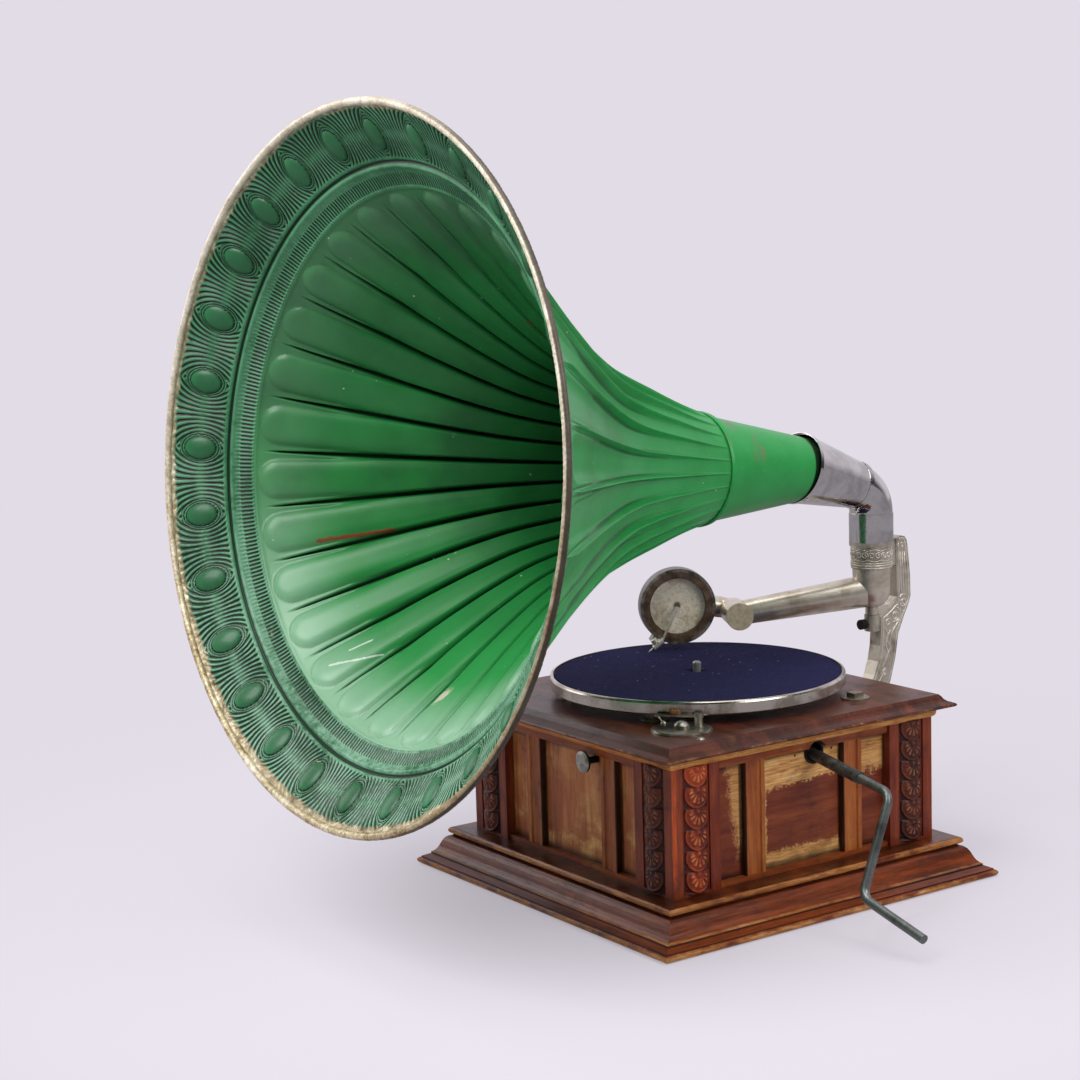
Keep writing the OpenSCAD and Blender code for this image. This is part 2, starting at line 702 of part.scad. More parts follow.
// brake lever with its bent wire tail and ball
module brake_lever() {
  a = [33, 0.5, 167.65];
  b = [31, 8.2, 167.65];
  c = [26.9, 10.4, 163.2];
  color("silver") lever_frame() difference() {
    union() {
      box([0, -2, 166.9], [36, 2, 168.4]);
      translate([0, 0, 166.9]) cylinder(h = 1.5, r = 4.4);
      rod(a, b, 0.8);
      translate(b) sphere(r = 0.95);
      rod(b, c, 0.8);
      translate(c) sphere(r = 2.5);
    }
    translate([0, 0, 160]) cylinder(h = 20, r = 2.4 + run_fit);
  }
}

// leather pad that stops the rim
module brake_pad() {
  color("tan") lever_frame() box([15, -4.6, 166.9], [24.2, -2, 172]);
}

// Crank

// bent steel rod
module crank_rod() {
  u = unit(crank_up - crank_in);
  v = unit(crank_dn - crank_up);
  w = unit(crank_end - crank_dn);
  t1 = bend_len(u, v, crank_bend) - 0.5;
  t2 = bend_len(v, w, crank_bend) - 0.5;
  color("dimgray") {
    rod(crank_in, crank_up - t1 * u, rod_r - 0.03);
    bent(crank_up, u, v, crank_bend, rod_r);
    rod(crank_up + t1 * v, crank_dn - t2 * v, rod_r - 0.03);
    bent(crank_dn, v, w, crank_bend, rod_r);
    rod(crank_dn + t2 * w, crank_end, rod_r - 0.03);
  }
}

// thicker sleeve near the cabinet
module crank_sleeve() {
  u = (crank_up - crank_in) / norm(crank_up - crank_in);
  color("black") difference() {
    rod(crank_in + 5 * u, crank_in + 74 * u, sleeve_r);
    rod(crank_in + 3 * u, crank_in + 76 * u, rod_r + 0.02);
  }
}

// Bracket and tone arm

// cast bracket: foot, curved stem, spine, lug and collar
module bracket() {
  color("lightgray") difference() {
    union() {
      rotate([90, 0, 90]) linear_extrude(14, center = true) polygon(concat(
        [for (p = [[24.3, 268], [24.3, 214], [19, 206], [9, 200], [4.4, 198], [4.4, 186], [3.4, 171],
          [0.5, 157], [-4, 145], [-12, 130], [-25, 114], [-41, 102]]) [axis_y + p[0], p[1]]],
        [[panel_half + 15.5, 96], [panel_half, 96], [panel_half, 72], [panel_half + 15.5, 72]],
        [for (p = [[-33, 82], [-15, 98], [3, 116], [15.6, 137], [22, 158], [26, 180], [33, 195], [39, 206],
          [41.7, 213], [41, 235], [38.5, 258], [37.5, 265], [34.5, 269], [30, 270]]) [axis_y + p[0], p[1]]]));
      box([-28, panel_half, 44], [28, panel_half + 6.5, 118]);
      box([-6, axis_y + 10, collar_z], [6, axis_y + 26, collar_top]);
      box([-6, axis_y, 185], [6, axis_y + 6, 200]);
      translate([0, axis_y, 185]) cylinder(h = 15, r = 7);
      translate([0, axis_y, collar_z]) cylinder(h = collar_top - collar_z, r = collar_r);
      translate([0, axis_y, collar_top - 4]) cylinder(h = 4, r = 20);
      translate([0, axis_y, collar_top - 1]) cylinder(h = 19, r = spigot_r);
    }
    translate([0, axis_y, collar_z - 1]) cylinder(h = 20, r = arm_spigot + run_fit);
    translate([0, axis_y, collar_z - 1]) cylinder(h = 60, r = 12);
    translate([0, axis_y, 186]) cylinder(h = 20, r = 2.52);
    translate([0, axis_y - 9, 192]) rotate([-90, 0, 0]) cylinder(h = 6.45, r = 1.52);
    for (x = [-19, 19], z = [54, 108]) translate([x, panel_half - 1, z]) rotate([-90, 0, 0])
      cylinder(h = 10, r = 2.1);
  }
}

// four screws through the bracket's foot
module bracket_screws() {
  color("silver") for (x = [-19, 19], z = [54, 108]) translate([x, panel_half, z]) rotate([-90, 0, 0]) {
    cylinder(h = 7, r = 2.08);
    translate([0, 0, 6.5]) cylinder(h = 2, r1 = 4.6, r2 = 3.2);
  }
}

// pin in the lug that carries the tone arm
module pivot_pin() {
  color("silver") translate([0, axis_y, 186]) cylinder(h = 20, r = 2.5);
}

// black screw that locks the pin
module lock_screw() {
  color("black") translate([0, axis_y, 192]) rotate([90, 0, 0]) {
    translate([0, 0, 2.55]) cylinder(h = 6, r = 1.5);
    translate([0, 0, 7.1]) cylinder(h = 2.2, r = 3);
    translate([0, 0, 9.2]) cylinder(h = 5.5, r = 4.6);
  }
}

module tube_dir(s, z) {
  translate([s, 0, z]) rotate([0, 90 + slope, 0]) children();
}

// hollow arm: elbow in the collar, tapered tube and cross tube
module tone_arm() {
  z0 = 222.45;
  len = 118 / cos(slope);
  color("lightgray") arm_frame() difference() {
    union() {
      translate([0, 0, z0]) cylinder(h = collar_z - z0 - 0.2, r1 = 16.5, r2 = 17.5);
      translate([0, 0, z0]) sphere(r = 16.5);
      tube_dir(0, z0) cylinder(h = len, r1 = 14.9, r2 = 11);
      translate([0, 0, collar_z - 1]) cylinder(h = 18.5, r = arm_spigot);
      translate([0, 0, 200.4]) cylinder(h = 9, r = 6);
      translate([cross_s, -16, cross_z]) rotate([-90, 0, 0]) cylinder(h = 30.5, r = cross_r);
    }
    translate([0, 0, z0]) cylinder(h = 60, r = 11.8);
    translate([0, 0, z0]) sphere(r = 15.2);
    tube_dir(0, z0) cylinder(h = len, r1 = 13.7, r2 = 9.8);
    translate([cross_s, -17, cross_z]) rotate([-90, 0, 0]) cylinder(h = 40, r = cross_r - 1.2);
    translate([0, 0, 200]) cylinder(h = 6.2, r = 2.5 + run_fit);
  }
}

// flat cap on the front end of the cross tube
module cross_cap() {
  color("lightgray") arm_frame() translate([cross_s, 0, cross_z]) rotate([-90, 0, 0]) {
    translate([0, 0, 11]) cylinder(h = 4, r = cross_r - 1.22);
    translate([0, 0, 14.5]) cylinder(h = 2.2, r = cross_r + 0.3);
  }
}

module crook_path(r, spigot, step) {
  tilt = atan2(box_z - cross_z, box_s - cross_s);
  len = norm([box_z - cross_z, box_s - cross_s]);
  translate([cross_s, 0, cross_z]) rotate([0, -tilt, 0]) {
    translate([0, -12, 0]) rotate([90, 0, 0]) cylinder(h = 4.6, r = spigot);
    translate([11, -16.5, 0]) rotate([0, 0, 180]) rotate_extrude(angle = 90) translate([11, 0]) circle(r);
    translate([11, -27.5, 0]) rotate([0, 90, 0]) cylinder(h = len - 22, r = r + step);
    translate([len - 11, -16.5, 0]) rotate([0, 0, 270]) rotate_extrude(angle = 90)
      translate([11, 0]) circle(r);
    translate([len, -16.5, 0]) rotate([-90, 0, 0]) cylinder(h = 6.5, r = r + step);
  }
}

// U-shaped tube that turns in the cross tube and carries the sound box
module crook() {
  color("lightgray") arm_frame() difference() {
    crook_path(crook_r, cross_r - 1.2 - run_fit, 0.25);
    crook_path(crook_r - 1.3, crook_r - 1.1, 0.15);
    translate([cross_s, -11, cross_z]) rotate([90, 0, 0]) cylinder(h = 3, r = crook_r - 1.6);
    translate([box_s, -11, box_z]) rotate([-90, 0, 0]) cylinder(h = 3, r = crook_r - 1.6);
  }
}

// metal case of the sound box
module soundbox_case() {
  color("gray") box_frame() difference() {
    union() {
      translate([0, 0, -6]) cylinder(h = 13, r = box_r);
      translate([0, 0, -10]) cylinder(h = 4.5, r = 12);
      rotate([0, 0, 58.3]) box([box_r - 2, -6, -3], [box_r + 5, 6, 9]);
    }
    translate([0, 0, 2.2]) cylinder(h = 10, r = box_r - 3.3);
    translate([0, 0, -3.5]) cylinder(h = 10, r = box_r - 6.3);
    translate([0, 0, -11]) cylinder(h = 10, r = 7);
  }
}

// ring and gasket that hold the diaphragm
module soundbox_ring() {
  color("saddlebrown") box_frame() difference() {
    union() {
      translate([0, 0, 7]) cylinder(h = 2, r = box_r - 0.1);
      translate([0, 0, 2.7]) cylinder(h = 4.4, r = box_r - 3.35);
    }
    translate([0, 0, 2]) cylinder(h = 10, r = mica_r);
    rotate([0, 0, 58.3]) box([box_r - 2.05, -6.05, 6.9], [box_r + 2, 6.05, 9.1]);
  }
}

// mica disc
module diaphragm() {
  color("lightgray") box_frame() translate([0, 0, 2.25]) cylinder(h = 0.4, r = box_r - 3.4);
}

// stylus bar from the diaphragm to the needle socket
module stylus_bar() {
  a = [1.3, 2, 10.6];
  b = [15.6, 30, 10.6];
  n1 = [14.6, 29.2, 12];
  n2 = [23.6, 36, 12];
  color("silver") box_frame() difference() {
    union() {
      translate([a[0], a[1], 2.65]) cylinder(h = 8, r = 1.1);
      translate([a[0], a[1], 9.4]) cylinder(h = 2.4, r = 2.2);
      rod(a, b, 1.1);
      rod(n1, n2, 2.4);
      rotate([0, 0, 58.3]) box([box_r - 1, -1.3, 9], [box_r + 4.4, 4, 10.2]);
    }
    rod(n1 + [2.4, 1.8, 0], n2 + [2, 1.5, 0], 0.82);
    translate([20, 33.3, 12]) rotate([0, 0, -53]) rotate([0, 90, 0]) cylinder(h = 5, r = 1.05);
  }
}

// thumb screw that clamps the needle
module needle_screw() {
  color("silver") box_frame() translate([20, 33.3, 12]) rotate([0, 0, -53]) rotate([0, 90, 0]) {
    translate([0, 0, 1.2]) cylinder(h = 4, r = 1);
    translate([0, 0, 3]) cylinder(h = 3.4, r = 3);
  }
}

// steel needle
module needle() {
  n1 = [17, 31, 12];
  n2 = [26.7, 38.33, 12];
  n3 = [28.3, 39.54, 12];
  v = (n3 - n2) / norm(n3 - n2);
  color("silver") box_frame() {
    rod(n1 + 0.3 * v, n2, 0.8);
    translate(n2 - 0.2 * v) rotate([0, 90, atan2(v[1], v[0])]) cylinder(h = 2.1, r1 = 0.7, r2 = 0.1);
  }
}

// Horn

module elbow_frame() {
  translate([0, axis_y, 0]) rotate([0, 0, horn_turn]) children();
}

module leg() {
  translate([0, -bend_r + bend_r * cos(leg_a), bend_z + bend_r * sin(leg_a)]) rotate([leg_a, 0, 0]) children();
}

module elbow_path(r0, r1, r2, r3, zlow) {
  translate([0, 0, zlow]) cylinder(h = bend_z - zlow, r = r0);
  translate([0, -bend_r, bend_z]) rotate([90, 0, 90]) rotate_extrude(angle = leg_a)
    translate([bend_r, 0]) circle(r1);
  leg() cylinder(h = leg_len, r1 = r2, r2 = r3);
}

// nickel elbow: sleeve on the collar, bend and conical socket
module horn_elbow() {
  color("lightgray") elbow_frame() difference() {
    union() {
      elbow_path(20, 19.4, 21.2, 31.6, collar_top + 0.02);
      leg() translate([0, 0, leg_len - 3]) cylinder(h = 3, r = 32);
      leg() translate([0, 0, -2]) cylinder(h = 5, r = 21.9);
    }
    elbow_path(18.2, 18.1, 18.3, 31.15, collar_top + 19);
    translate([0, 0, collar_top - 1]) cylinder(h = 22, r = spigot_r + run_fit);
    leg() translate([0, 0, leg_len - 2]) cylinder(h = 3, r = 31.55);
  }
}

// plain conical neck with the rolled seam
module horn_neck() {
  color("green") horn_frame() rotate_extrude() polygon([[26.1, 80], [46.0, 208], [46.2, 210], [48, 210],
    [48.45, 211.6], [49, 211.6], [49.5, 209], [49, 206.6], [46.5, 206.6], [26.9, 80]]);
}

function arch(p) = sqrt(max(0, 1 - 4 * p * p));
function depth(t) = flute_d * min(1, (t - 210) / 190) * min(1, max(0, 514.7 - t) / 14);
function bell_r(i, j) = bell_t[i][1] + depth(bell_t[i][0]) * (0.55 - arch((j % 6) / 6 - 0.5));

module fluted(first, last) {
  nr = last - first + 1;
  nc = flutes * 6;
  pts = [for (k = [0, 1], i = [first : last], j = [0 : nc - 1]) let (r = bell_r(i, j) + k * sheet_t)
    [r * cos(360 * j / nc), r * sin(360 * j / nc), bell_t[i][0]]];
  m = nr * nc;
  color("green") horn_frame() polyhedron(pts, concat(
    [for (i = [0 : nr - 2], j = [0 : nc - 1]) let (a = i * nc + j, b = i * nc + (j + 1) % nc)
      each [[a, b, b + nc], [a, b + nc, a + nc]]],
    [for (i = [0 : nr - 2], j = [0 : nc - 1]) let (a = m + i * nc + j, b = m + i * nc + (j + 1) % nc)
      each [[a, b + nc, b], [a, a + nc, b + nc]]],
    [for (j = [0 : nc - 1]) let (a = j, b = (j + 1) % nc) each [[a, a + m, b + m], [a, b + m, b]]],
    [for (j = [0 : nc - 1]) let (a = m - nc + j, b = m - nc + (j + 1) % nc)
      each [[a, b + m, a + m], [a, b, b + m]]]));
}

// narrow rear part of the fluted bell
module horn_throat() {
  fluted(0, 6);
}

// wide front part of the fluted bell
module horn_bell() {
  fluted(6, len(bell_t) - 1);
}

// embossed border with a raised ring and the rolled rim
module horn_border() {
  t = sheet_t;
  color("seagreen") horn_frame() rotate_extrude() polygon(concat(
    [for (p = [[0.3, 514.7], [4, 516.2], [12.5, 523.6], [14, 526.4], [16.2, 526.8], [25, 534.2], [38, 545],
      [51, 555.3]]) [bell_end + p[0] * border_w / 64, p[1]]],
    [for (a = [150 : -24 : -138]) [mouth_r - 3.2 + 3.2 * cos(a), 563 + 3.2 * sin(a)]],
    [for (p = [[51 + t, 554.9], [38 + t, 544.4], [25 + t, 533.6], [17, 526], [14.5, 525.6], [13.5, 523.2],
      [5, 515.4], [1.1, 514.7]]) [bell_end + p[0] * border_w / 64, p[1]]]));
}

base_moulding();
bottom_board();
front_panel();
right_panel();
plain_panels();
corner_posts();
carved_columns();
panel_stiles();
panel_rails();
bed_moulding();
top_board();
board_screw();
crank_bush();
speed_knob();
motor_top_plate();
motor_bottom_plate();
motor_pillars();
motor_bolts();
barrel_drum();
barrel_cap();
mainspring();
winding_arbor();
winding_shaft();
winding_bracket();
winding_check_spring();
intermediate_wheel();
spindle();
spindle_worm_wheel();
governor_shaft();
governor_disc();
governor_weights();
governor_springs();
governor_bracket();
regulator_lever();
regulator_pad();
platter();
felt_mat();
brake_plate();
brake_lever();
brake_pad();
crank_rod();
crank_sleeve();
bracket();
bracket_screws();
pivot_pin();
lock_screw();
tone_arm();
cross_cap();
crook();
soundbox_case();
soundbox_ring();
diaphragm();
stylus_bar();
needle_screw();
needle();
horn_elbow();
horn_neck();
horn_throat();
horn_bell();
horn_border();
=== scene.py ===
"""Looks of an old horn gramophone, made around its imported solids. All lengths are millimetres times MM."""

import math

import bmesh
import bpy
import numpy as np
from mathutils import Matrix, Vector, noise


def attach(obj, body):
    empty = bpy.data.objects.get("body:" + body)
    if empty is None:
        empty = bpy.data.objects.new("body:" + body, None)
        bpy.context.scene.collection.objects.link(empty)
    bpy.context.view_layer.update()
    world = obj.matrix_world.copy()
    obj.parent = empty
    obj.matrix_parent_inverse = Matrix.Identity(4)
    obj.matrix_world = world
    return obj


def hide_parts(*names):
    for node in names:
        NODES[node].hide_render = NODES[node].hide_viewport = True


bl_info = {
    "name": "Horn gramophone",
    "version": (1, 0, 0),
    "blender": (4, 5, 0),
    "location": "View3D > Sidebar > Gramophone",
    "description": "Carved cabinet, fluted green horn, nickel tone arm and winding crank of an old gramophone",
    "category": "Object",
}

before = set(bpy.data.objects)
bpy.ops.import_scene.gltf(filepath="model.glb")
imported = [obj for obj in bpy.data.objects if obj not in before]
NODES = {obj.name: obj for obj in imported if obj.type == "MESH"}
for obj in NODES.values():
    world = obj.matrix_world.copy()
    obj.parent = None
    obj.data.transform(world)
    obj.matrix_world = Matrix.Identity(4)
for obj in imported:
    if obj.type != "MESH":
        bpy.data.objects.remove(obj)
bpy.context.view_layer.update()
MM = 0.001
TAU = 2 * math.pi

AXIS_Y = 205.0
HORN = (
    Matrix.Translation((0, AXIS_Y * MM, 333.44 * MM))
    @ Matrix.Rotation(math.radians(2.22), 4, "Z")
    @ Matrix.Rotation(math.radians(90 - 5.34), 4, "X")
)
# Distance along the horn's axis and mean radius of its fluted sheet.
BELL_LINE = (
    (210, 47.05), (244, 55.8), (279, 66.8), (314, 78.1), (349, 92.5), (379, 110.9), (409, 132.3),
    (434, 150.9), (459, 170.5), (487, 192.6), (503, 205.7), (511, 212), (514.7, 215.3),
)
# Radius and distance along the axis of the border's face.
BORDER_LINE = (
    (215.3, 514.7), (219, 516.2), (227.5, 523.6), (229, 526), (231.2, 527.2), (240, 534.2),
    (253, 545), (266, 555.3), (271.5, 560.2), (273.2, 561.9),
)
BELL_START, BELL_END = BELL_LINE[0][0], BELL_LINE[-1][0]
BORDER_START, BORDER_END = BORDER_LINE[0][0], BORDER_LINE[-1][0]
# Radii of the border's two rows of beads, raised ring, gutter and eggs.
BEAD_RADII, RING_RADIUS, GUTTER_RADIUS, EGG_RADIUS = (216.2, 227.4), 230.6, 233.6, 253
# Radius and distance along the axis of the rim's middle, its thickness and the most that its dents may reach.
RIM_CENTRE, RIM_THICK, RIM_LIMIT = (275.7, 563.0), 3.05, 3.35
# Along the axis: where the petals' crowns end, and where the seams between them do.
PETAL_END, SEAM_END = 511.5, 509
SHEET = 0.8
# Middle of the sound box, and (y, z) of the middle of the elbow's mouth, in metres.
BOX_MIDDLE = (-0.085, 0.0466, 0.2172)
NECK_END = (0.1121, 0.343)
# How much the wood's texture is drawn out along the grain.
GRAIN = 0.07
# A carved column at the front: how far its axis is to the side and behind the face, its radius, the ends of its
# height, and the plane that it is cut off at.
COLUMN_X, COLUMN_AXIS, COLUMN_R = 116.3, 123.3, 20.3
COLUMN_LOW, COLUMN_HIGH, COLUMN_BACK = 36.0, 139.0, -138.95


# Shader maths


class Val:
    """The value of one socket. Arithmetic on it adds Math nodes."""

    def __init__(self, paint, socket):
        self.paint = paint
        self.socket = socket

    def math(self, operation, *others, first=None):
        terms = (self, *others) if first is None else (first, self)
        return self.paint.node("Math", {"operation": operation}, dict(enumerate(terms)))

    def __add__(self, other):
        return self.math("ADD", other)

    def __sub__(self, other):
        return self.math("SUBTRACT", other)

    def __mul__(self, other):
        return self.math("MULTIPLY", other)

    def __truediv__(self, other):
        return self.math("DIVIDE", other)

    def __pow__(self, other):
        return self.math("POWER", other)

    def __rsub__(self, other):
        return self.math("SUBTRACT", first=other)

    def __rtruediv__(self, other):
        return self.math("DIVIDE", first=other)

    def __rpow__(self, other):
        return self.math("POWER", first=other)

    def __abs__(self):
        return self.math("ABSOLUTE")

    __radd__ = __add__
    __rmul__ = __mul__

    def smaller(self, other):
        return self.math("MINIMUM", other)

    def larger(self, other):
        return self.math("MAXIMUM", other)


def tint(code):
    """The linear colour of a #rrggbb code."""
    parts = [int(code[i:i + 2], 16) / 255 for i in (1, 3, 5)]
    return tuple(c / 12.92 if c <= 0.04045 else ((c + 0.055) / 1.055) ** 2.4 for c in parts) + (1.0,)


class Paint:
    """A material and the nodes that make it. base is the colour laid so far."""

    def __init__(self, target):
        if isinstance(target, str):
            self.material = bpy.data.materials.new(target)
            self.material.use_nodes = True
            target = self.material.node_tree
        self.tree = target
        self.tree.nodes.clear()
        self.spot = self.node("TexCoord", out="Object")
        self.base = None

    def node(self, kind, settings=(), inputs=(), out=0):
        """Adds one node, sets it up, fills or links its sockets, and gives one of its outputs, if it has any."""
        made = self.tree.nodes.new("ShaderNode" + kind)
        for key, value in dict(settings).items():
            if key == "stops":
                bars = made.color_ramp.elements
                for count, (place, code) in enumerate(value):
                    bar = bars[count] if count < len(bars) else bars.new(1.0)
                    bar.position = place
                    bar.color = tint(code)
            else:
                setattr(made, key, value)
        for key, value in dict(inputs).items():
            if isinstance(value, Val):
                self.tree.links.new(value.socket, made.inputs[key])
            elif isinstance(value, str):
                made.inputs[key].default_value = tint(value)
            else:
                made.inputs[key].default_value = value
        return Val(self, made.outputs[out]) if made.outputs else None

    def axes(self, vector=None):
        """The three coordinates of a point in metres."""
        split = self.node("SeparateXYZ", (), {0: vector or self.spot}).socket.node
        return [Val(self, socket) for socket in split.outputs]

    def scaled(self, x, y, z):
        return self.node("VectorMath", {"operation": "MULTIPLY"}, {0: self.spot, 1: (x, y, z)})

    def noise(self, scale, detail=4.0, rough=0.55, at=None, twist=0.0):
        return self.node("TexNoise", (), {
            "Vector": at or self.spot, "Scale": scale, "Detail": detail, "Roughness": rough,
            "Distortion": twist})

    def rise(self, value, low, high):
        """A smooth step from 0 at low to 1 at high. low may be the larger one."""
        return self.node("MapRange", {"interpolation_type": "SMOOTHSTEP"}, {
            "Value": value, "From Min": low, "From Max": high})

    def fog(self, low, high, *noise):
        """A smooth step over a noise."""
        return self.rise(self.noise(*noise), low, high)

    def dots(self, scale, small, large):
        """Scattered dots: 1 up to the small radius, 0 beyond the large one."""
        cells = self.node("TexVoronoi", (), {"Vector": self.spot, "Scale": scale})
        return self.rise(cells, large, small)

    def band(self, value, low, high, soft):
        """1 between low and high, with soft ends."""
        return self.rise(value, low - soft, low + soft) * self.rise(value, high + soft, high - soft)

    def blend(self, share, first, second):
        return self.node("Mix", {"data_type": "RGBA"}, {0: share, 6: first, 7: second}, 2)

    def lay(self, share, colour):
        """Lays a colour over the base by its share."""
        self.base = self.blend(share, self.base, colour)

    def ramp(self, value, places, tones):
        """A colour ramp with the tones of one string at these places."""
        return self.node("ValToRGB", {"stops": zip(places, tones.split())}, {0: value})

    def record(self, name):
        return self.node("Attribute", {"attribute_name": name}, (), "Fac")

    def ray(self, kind):
        return self.node("LightPath", out="Is %s Ray" % kind)

    def done(self, rough, height, depth, strength=0.5, metal=0.0, coat=(0.0, 0.03), specular=0.5, more=()):
        """Adds the surface shader: base colour, roughness, relief of depth metres, coat's weight and roughness."""
        relief = self.node("Bump", (), {"Height": height, "Distance": depth, "Strength": strength})
        self.show(self.node("BsdfPrincipled", (), {
            "Base Color": self.base, "Roughness": rough, "Normal": relief, "Metallic": metal,
            "Coat Weight": coat[0], "Coat Roughness": coat[1], "Specular IOR Level": specular, **dict(more)}))
        return self.material

    def show(self, surface, kind="Material"):
        """Adds the output node that shows this shader."""
        self.node("Output" + kind, (), {"Surface": surface})


# Finishes


def wood(name, run, tones, worn, polish, shade=None, bare="#b9783a", dirt=0.5, ends=("#94602d", "#e9c58c")):
    """Stained wood in three tones. run is the way of the grain: x, y, z, or ring for mitred mouldings.
    worn gives the share of bare wood, and shade that of painted shade (with dirt along the panels), from the paint
    and the three coordinates.
    bare and ends are the middle and outer tones of the bare wood."""
    p = Paint(name)
    x, y, z = p.axes()
    ways = {"x": (GRAIN, 1, 1), "y": (1, GRAIN, 1), "z": (1, 1, GRAIN)}
    if run == "ring":
        side = p.rise(abs(x) - abs(y), -0.0004, 0.0004)
        at = p.node("Mix", {"data_type": "VECTOR"}, {0: side, 4: p.scaled(*ways["x"]), 5: p.scaled(*ways["y"])}, 1)
    else:
        at = p.scaled(*ways[run])
    flow = p.noise(70, 5, 0.6, at, 0.6)
    lines = p.noise(520, 3, 0.7, at)
    pores = p.fog(0.60, 0.72, 1500, 2, 0.6, at)
    grain = flow * 0.55 + lines * 0.3 + p.noise(16, 3, 0.6) * 0.25
    p.base = p.ramp(grain, (0.33, 0.5, 0.68), tones)
    grime = p.fog(0.52, 0.74, 34, 5, 0.65) * dirt
    rough = polish + grime * 0.2 + lines * 0.16
    if worn:
        share = worn(p, x, y, z)
        p.lay(share, p.ramp(lines * 0.6 + flow * 0.4, (0.35, 0.5, 0.7), " ".join((ends[0], bare, ends[1]))))
        rough = rough + share * 0.22
    p.lay(pores * 0.45, "#1c0d07")
    p.lay(grime, "#2a160d")
    specks = p.dots(150, 0.06, 0.13) * p.fog(0.52, 0.6, 40)
    p.lay(specks * 0.55, "#120a07")
    # Painted shade: dark in the quirks, on the sides of the uprights and along the panels' edges.
    if shade:
        p.lay(shade(p, x, y, z), "#0e0503")
    height = lines * 0.5 - pores * 0.8 - specks * 0.5
    return p.done(rough, height, 0.00035, 0.6, coat=(0.14, 0.16), specular=0.3)


def ragged(p, value, low, high, rag):
    """A step whose edge wanders by rag metres."""
    shift = (p.noise(120, 5, 0.7) - 0.5) * rag * 2 + (p.noise(520, 2, 0.6) - 0.5) * rag
    return p.rise(value + shift, low, high)


def right_panel_wear(p, x, y, z):
    centre = ragged(p, abs(y), 0.0415, 0.044, 0.006)
    top = ragged(p, z - y * 0.06, 0.1035, 0.106, 0.007)
    foot = ragged(p, z, 0.053, 0.049, 0.006)
    left = ragged(p, y, -0.0360, -0.0385, 0.004)
    middle = (1 - centre) * (top.larger(foot).larger(left))
    far = p.rise(y, 0.06, 0.062) * ragged(p, z, 0.098, 0.106, 0.014)
    near = p.rise(y, -0.06, -0.062) * ragged(p, y + z * 0.12, -0.066, -0.058, 0.012)
    low = near * ragged(p, z, 0.050, 0.070, 0.02)
    thin = p.fog(0.66, 0.56, 240, 4, 0.7, p.scaled(1, 0.25, 1))
    return middle.larger(far * 0.9).larger(low * 0.75) * (thin * 0.45 + 0.5)


def front_panel_wear(p, x, y, z):
    haze = p.fog(0.46, 0.62, 22, 4, 0.6, p.scaled(1, 1, 1.6))
    low = ragged(p, z, 0.095, 0.06, 0.02)
    return (haze * low * 0.85).larger(haze * 0.25)


def plain_wear(p, x, y, z):
    return p.fog(0.60, 0.72, 20, 4, 0.65) * 0.35


def base_wear(p, x, y, z):
    rag = (p.noise(150, 4, 0.7) - 0.5) * 0.004
    foot = p.rise(z + rag, 0.0062, 0.0040)
    lip = p.band(z + rag * 0.3, 0.0287, 0.0336, 0.0005)
    step = p.band(z + rag * 0.2, 0.0107, 0.0121, 0.0003)
    patchy = p.fog(0.34, 0.56, 55, 4, 0.65, p.scaled(0.5, 0.5, 1))
    return (foot * 0.85).larger(lip * 0.62).larger(step * 0.5) * patchy


def board_wear(p, x, y, z):
    reach = abs(x).larger(abs(y))
    arris = p.rise(reach, 0.1545, 0.1557) * p.fog(0.46, 0.62, 90, 4)
    rubs = p.fog(0.6, 0.74, 28, 5, 0.7, p.scaled(0.5, 1, 1))
    return (arris * 0.4).larger(rubs * 0.2)


def bed_wear(p, x, y, z):
    return p.fog(0.30, 0.52, 60, 4, 0.7) * 0.8 * p.rise(x, 0.139, 0.1415) + p.fog(0.55, 0.7, 60) * 0.3


def post_wear(p, x, y, z):
    """The orange strip at the near right corner and rubbed arrises."""
    edge = abs(x).smaller(abs(y))
    arris = p.rise(edge, 0.1385, 0.1402)
    near = p.rise(x, 0.1395, 0.1403) * p.rise(y, -0.1345, -0.1375) * p.rise(z, 0.04, 0.05)
    return (arris * 0.2).larger(near * (p.noise(30, 3) * 0.4 + 0.6))


def stile_shade(p, x, y, z):
    """Painted shade on the sides of the uprights."""
    across = abs(x).smaller(abs(y))
    return (1 - p.band(across, 0.0431, 0.0624, 0.0002)) * 0.9


def panel_shade(p, x, y, z):
    """Painted shade with dirt along the uprights, the posts, the sill and the rail."""
    across = abs(x).smaller(abs(y))
    line = p.band(across, 0.0405, 0.044, 0.0008).larger(p.band(across, 0.0617, 0.066, 0.0009))
    ends = p.rise(across, 0.0895, 0.0915).larger(p.rise(z, 0.0455, 0.0385)).larger(p.rise(z, 0.126, 0.1315))
    return line.larger(ends) * (p.noise(60, 3) * 0.5 + 0.55)


def base_shade(p, x, y, z):
    """Painted shade in the quirks of the base moulding and a painted shadow on the ledge above it."""
    line = (p.band(z, 0.0262, 0.0284, 0.0005) * 0.4).larger(p.band(z, 0.0094, 0.0106, 0.0002) * 0.8)
    low = p.band(z, 0.0058, 0.0066, 0.0002) * 0.7
    ledge = p.rise(z, 0.0336, 0.0339) * p.fog(0.36, 0.56, 45, 4) * 0.6
    return line.larger(low).larger(ledge)


